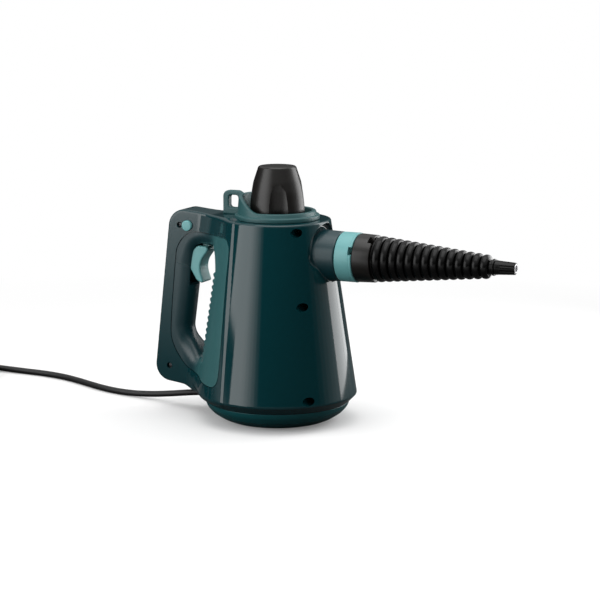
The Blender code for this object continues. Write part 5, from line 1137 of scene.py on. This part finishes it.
def make_ribbed_cone(material):
    """Rounded ribs, each a half ring that stands on the cone, and a small collar in front."""
    profile = [(8.9, 97), (11.3, 97), (11.3, 108.3), (20, 108.3)]
    for i in range(RIB_COUNT):
        middle = RIB_START_X + RIB_PITCH * (i + 0.5)
        crest = RIB_REAR_RADIUS + (RIB_FRONT_RADIUS - RIB_REAR_RADIUS) * i / (RIB_COUNT - 1)
        for k in range(RIB_STEPS + 1):
            angle = math.pi * k / RIB_STEPS
            bulge = math.sin(angle) ** RIB_POWER
            along = middle - RIB_SHARE * RIB_PITCH * math.cos(angle)
            profile.append((crest - RIB_DEPTH + RIB_DEPTH * bulge, along))
    end = NECK_X + NECK_COLLAR
    profile += [(NECK_RADIUS, NECK_X - 2), (NECK_RADIUS, NECK_X)]
    profile += rounded([(NECK_RADIUS, NECK_X, 0), (8.1, NECK_X, 0.5), (8.1, end, 0.6), (6.2, end, 0)], 4)
    profile += [(6.2, NECK_X - 9.3), (8.9, NECK_X - 14)]
    cone = turned("ribbed_cone", profile, 144, "X", NOZZLE_AT)
    finished(cone, ["nozzle_cone"], material, 50)


def make_tip(material):
    """The slim tip, with flutes cut along its taper."""
    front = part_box("nozzle_tip")[1][0] / MM
    rear = NECK_X + NECK_COLLAR + SEAT
    tube = [
        (3.3, rear - 11.7, 0),
        (5.9, rear - 11.7, 0.3),
        (5.9, rear, 0),
        (7.2, rear, 0.7),
        (6.7, rear + 4, 2),
        (5.8, front, 0.6),
        (4.7, front, 0.2),
        (4.7, front - 9.3, 0),
        (3.3, front - 9.3, 0),
    ]
    tip = turned("fluted_tip", rounded(tube, 4), 128, "X", NOZZLE_AT)
    lean = math.atan(TIP_FALL / (front - rear))
    start = Matrix.Translation((rear * MM, 0, NOZZLE_Z * MM))
    out = Matrix.Translation((0, 0, FLUTE_REACH * MM)) @ Matrix.Rotation(lean, 4, "Y")
    cuts = []
    for i in range(FLUTE_COUNT):
        angle = math.tau * (i + 0.5) / FLUTE_COUNT
        groove = turned(f"flute_{i}", rounded(FLUTE_OUTLINE, 4), 24, "X")
        groove.data.transform(start @ Matrix.Rotation(angle, 4, "X") @ out)
        cuts.append(groove)
    combined(tip, cuts)
    finished(tip, ["nozzle_tip"], material)


RELIEF_RADIUS = 5.2
RELIEF_COLLAR_X = -74.6
RELIEF_COLLAR = 2.4
RELIEF_RINGS = 5
RELIEF_TAPER = 0.9
RELIEF_CUT = 0.7
# Where each ring's land and cut start and end, as shares of its length
RELIEF_STEPS = ((0.08, 0), (0.52, 0), (0.6, RELIEF_CUT), (0.92, RELIEF_CUT))


def make_gland(material):
    """The tapered strain relief, with rings cut round it."""
    end, inner = (corner[0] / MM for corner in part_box("cord_gland"))
    outer = RELIEF_COLLAR_X
    rear = outer + RELIEF_COLLAR
    profile = [(0, inner), (6.3, inner), (6.3, inner - 2.4)]
    profile += [(RELIEF_RADIUS, inner - 2.4), (RELIEF_RADIUS, rear)]
    profile += rounded([(RELIEF_RADIUS, rear, 0), (6.7, rear, 0.4), (6.7, outer, 0.6), (5.3, outer, 0)], 4)
    length = outer - end - 1.6
    for i in range(RELIEF_RINGS):
        for share, depth in RELIEF_STEPS:
            part = (i + share) / RELIEF_RINGS
            profile.append((RELIEF_RADIUS - RELIEF_TAPER * part - depth, outer - length * part))
    profile += [(4.3, end + 1.5), (4.2, end), (0, end)]
    relief = turned("strain_relief", profile, 64, "X", GLAND_AT)
    finished(relief, ["cord_gland"], material)
    return relief


# Cord


def smooth_points(points, parts=5):
    """Points along a smooth curve through the given ones."""
    padded = [points[0] * 2 - points[1], *points, points[-1] * 2 - points[-2]]
    found = []
    for i in range(len(points) - 1):
        found += [spline_point(*padded[i : i + 4], k / parts) for k in range(parts)]
    return [*found, points[-1]]


def coil_radius(turns):
    """Inwards in the lower layer, and outwards again in the upper one."""
    reach = COIL_LAYER_TURNS
    half = COIL_CLIMB_TURNS / 2
    distance = turns if turns < reach else 2 * reach - turns
    if abs(turns - reach) < half:
        share = (turns - reach) / half
        distance = reach - half * (1 + share * share) / 2
    return COIL_RADIUS - COIL_PITCH * distance


def coil_height(turns):
    """One layer up, halfway along."""
    half = COIL_CLIMB_TURNS / 2
    climb = eased(COIL_LAYER_TURNS - half, COIL_LAYER_TURNS + half, turns)
    return CORD_RADIUS + COIL_LIFT + COIL_PITCH * climb


def coil_points():
    """The wound turns and the tail up to the plug."""
    centre = Vector((COIL_X, COIL_Y, 0))
    found = [Vector((COIL_X + 2 * CORD_RADIUS, COIL_Y + COIL_RADIUS, coil_height(0)))]
    total = 2 * COIL_LAYER_TURNS
    count = round(total * COIL_STEPS_PER_TURN)
    for k in range(count + 1):
        turns = total * k / count
        angle = math.pi / 2 + math.tau * turns
        outward = Vector((math.cos(angle), math.sin(angle), 0))
        found.append(centre + outward * coil_radius(turns) + Vector((0, 0, coil_height(turns))))
    forward = Vector((-outward.y, outward.x, 0))
    last = found[-1]
    rise = PLUG_AXIS_Z - last.z
    for k in range(1, TAIL_STEPS + 1):
        along = TAIL_LENGTH * k / TAIL_STEPS
        height = rise * eased(0, TAIL_LENGTH - 2 * CORD_RADIUS, along)
        found.append(last + forward * along + Vector((0, 0, height)))
    return found, last, forward


def make_cord(materials):
    route = [Vector(point) * MM for point in CORD_ROUTE_MM]
    coil, coil_end, forward = coil_points()
    path = smooth_points([*route, coil[0]]) + coil[1:]
    data = bpy.data.curves.new("mains_lead", "CURVE")
    data.dimensions = "3D"
    line = data.splines.new("POLY")
    line.points.add(len(path) - 1)
    for point, place in zip(line.points, path):
        point.co = (*place, 1)
    data.bevel_depth = CORD_RADIUS
    data.bevel_resolution = 6
    data.use_fill_caps = True
    data.materials.append(materials["cord_black"])
    lead = linked("mains_lead", data)
    length = sum((b - a).length for a, b in zip(path, path[1:]))
    plug = make_plug(materials["cord_black"], coil_end, forward)
    gland = make_gland(materials["rubber"])
    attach(lead, "root")
    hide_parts("cord", "cord_coil")
    tuple(path[0])


PLUG_OUTLINE = ((0, 0, 0), (4.4, 0, 0.6), (6.5, 30, 2), (18, 30, 4.5), (18, 62, 1.6), (0, 62, 0))
PLUG_CUTS = 4
PLUG_CUT_X = 7
PLUG_CUT_PITCH = 5.6
PLUG_CUT_WIDTH = 1.6
PLUG_CUT_DEPTH = 0.7
PLUG_GRIPS = 5
PLUG_GRIP_X = 38
PLUG_GRIP_PITCH = 4
PLUG_GRIP_WIDTH = 1.4
PLUG_GRIP_Y = (16.9, 20)
PLUG_GRIP_HALF = 12


def make_plug(material, coil_end, forward):
    """A moulded round plug with a ribbed relief and finger grips."""
    plug = turned("mains_plug", rounded(PLUG_OUTLINE, 6), 96, "X")
    (_, _, _), (foot, _, _), (top, length, _) = PLUG_OUTLINE[:3]
    cuts = []
    for i in range(PLUG_CUTS):
        x = PLUG_CUT_X + PLUG_CUT_PITCH * i
        floor = foot + (top - foot) * x / length - PLUG_CUT_DEPTH
        cuts.append(turned(f"relief_cut_{i}", rod(9, x, x + PLUG_CUT_WIDTH, floor), 48, "X"))
    for i in range(PLUG_GRIPS):
        x = PLUG_GRIP_X + PLUG_GRIP_PITCH * i
        for side in (-1, 1):
            low, high = sorted(side * y for y in PLUG_GRIP_Y)
            near = (x, low, -PLUG_GRIP_HALF)
            cuts.append(box(f"grip_{i}_{side}", near, (x + PLUG_GRIP_WIDTH, high, PLUG_GRIP_HALF)))
    combined(plug, cuts)
    start = coil_end + forward * (TAIL_LENGTH + SEAT * MM)
    start.z = PLUG_AXIS_Z
    turn = Matrix.Translation(start) @ Matrix.Rotation(math.atan2(forward.y, forward.x), 4, "Z")
    plug.data.transform(turn)
    return finished(plug, ["plug"], material)


# Stage and light, in metres, with azimuths counted from the camera's

FLOOR_HALF = 8
FLOOR_Z = -0.0001
FLOOR_WHITE = 0.85
FLOOR_GLOW = (0.15, 1)
FLOOR_GLOW_AWAY = (0.3, 0.9)
FLOOR_BOUNCE = (0.08, 0.8)
FLOOR_BOUNCE_Y = (-0.2, -0.9)
SKY = (0.03, 1.1)
SKY_RISE = (0.15, 0.9)
TOP_PLACE = (0.12, -0.25, 1.7)
TOP_SIZE = 1.5
TOP_RADIANCE = 1.8
FADE_STEPS = 5

# Each upright softbox's first and last azimuth, distance, low and high edge, and radiance
SIDE_BOXES = {
    "left_box": (-71, -53, 1.6, 0, 1.3, 2.95),
    "left_raised_box": (-87, -71, 1.6, 0.16, 1.3, 2.95),
    "right_box": (99, 136, 0.65, 0, 0.8, 3.8),
}

# Each fade's first and last azimuth, distance, height, and radiance at its first and last azimuth
FADES = {
    "left_fade": (-53, -28, 1.6, 1.3, 2.95, 0),
    "right_fade": (60, 99, 0.7, 0.8, 0, 0.6),
}


def floor_white():
    """White for the camera, and glowing further out; to all other rays dark, but for the front."""
    made, nodes, shader = new_material("floor_white")
    place = nodes.place["Object"]
    seen = nodes.add("LightPath").outputs["Is Camera Ray"]
    away = nodes.add("VectorMath", {0: place}, operation="LENGTH").outputs["Value"]
    back = nodes.add("SeparateXYZ", {"Vector": place}).outputs["Y"]
    bounce = nodes.ranged(back, *FLOOR_BOUNCE, *FLOOR_BOUNCE_Y)
    colour = nodes.mixed(seen, bounce, FLOOR_WHITE)
    nodes.feed(shader, {"Base Color": colour, "Roughness": 0.7, "Specular IOR Level": 0.1})
    far = nodes.ranged(away, *FLOOR_GLOW, *FLOOR_GLOW_AWAY)
    share = nodes.add("Math", {0: far, 1: seen}, operation="MULTIPLY").outputs["Value"]
    glow = nodes.add("Emission", {"Color": (1, 1, 1)}).outputs["Emission"]
    both = nodes.add("MixShader", {0: share, 1: shader.outputs["BSDF"], 2: glow}).outputs["Shader"]
    nodes.feed(made.node_tree.nodes["Material Output"], {"Surface": both})
    return made


def make_floor():
    shape = bmesh.new()
    bmesh.ops.create_grid(shape, x_segments=1, y_segments=1, size=FLOOR_HALF)
    data = bpy.data.meshes.new("floor")
    shape.to_mesh(data)
    shape.free()
    data.materials.append(floor_white())
    floor = linked("floor", data)
    floor.location.z = FLOOR_Z


def make_world():
    """Dim towards the horizon and bright overhead; the camera itself sees white."""
    world = bpy.data.worlds.new("studio")
    bpy.context.scene.world = world
    world.use_nodes = True
    nodes = Nodes(world.node_tree)
    seen = nodes.add("LightPath").outputs["Is Camera Ray"]
    up = nodes.add("SeparateXYZ", {"Vector": nodes.place["Generated"]}).outputs["Z"]
    strength = nodes.mixed(seen, nodes.ranged(up, *SKY, *SKY_RISE), 1)
    nodes.feed(world.node_tree.nodes["Background"], {"Color": (1, 1, 1), "Strength": strength})


def area_light(name, place, towards, width, height, radiance):
    """A softbox of a given radiance that faces one way."""
    data = bpy.data.lights.new(name, "AREA")
    data.shape = "RECTANGLE"
    data.size = width
    data.size_y = height
    data.energy = radiance * width * height * math.pi
    lamp = linked(name, data)
    lamp.matrix_world = Matrix.Translation(place) @ aimed(towards)
    lamp.visible_camera = False


def side_box(name, first_deg, last_deg, distance, low, high, radiance):
    """An upright softbox between two azimuths and two heights."""
    out = direction(CAMERA_AZIMUTH_DEG + (first_deg + last_deg) / 2, 0)
    width = 2 * distance * math.tan(math.radians(last_deg - first_deg) / 2)
    middle = Vector((0, 0, (low + high) / 2))
    area_light(name, out * distance + middle, -out, width, high - low, radiance)


def make_lights():
    """Boxes on both sides that fade towards the camera, and one overhead."""
    area_light("top_box", Vector(TOP_PLACE), Vector((0, 0, -1)), TOP_SIZE, TOP_SIZE, TOP_RADIANCE)
    for name, values in SIDE_BOXES.items():
        side_box(name, *values)
    for name, (first, last, distance, height, start, end) in FADES.items():
        step = (last - first) / FADE_STEPS
        for i in range(FADE_STEPS):
            low = first + step * i
            radiance = start + (end - start) * (i + 0.5) / FADE_STEPS
            side_box(f"{name}_{i}", low, low + step, distance, 0, height, radiance)


make_camera()
finishes = make_materials()
make_cord(finishes)
make_housing(finishes["dark_teal"])
make_base_cover(finishes["bowl_teal"])
make_foot_pad(finishes["rubber"])
make_top_ring(finishes["matt_teal"])
make_cap(finishes["cap_black"])
make_trigger(finishes["turquoise"])
make_lock(finishes["turquoise"])
make_screws(finishes["shaded_screw_steel"])
make_nozzle(finishes)
dress_cad(finishes)
make_floor()
make_world()
make_lights()
bpy.context.scene.view_settings.view_transform = "Standard"
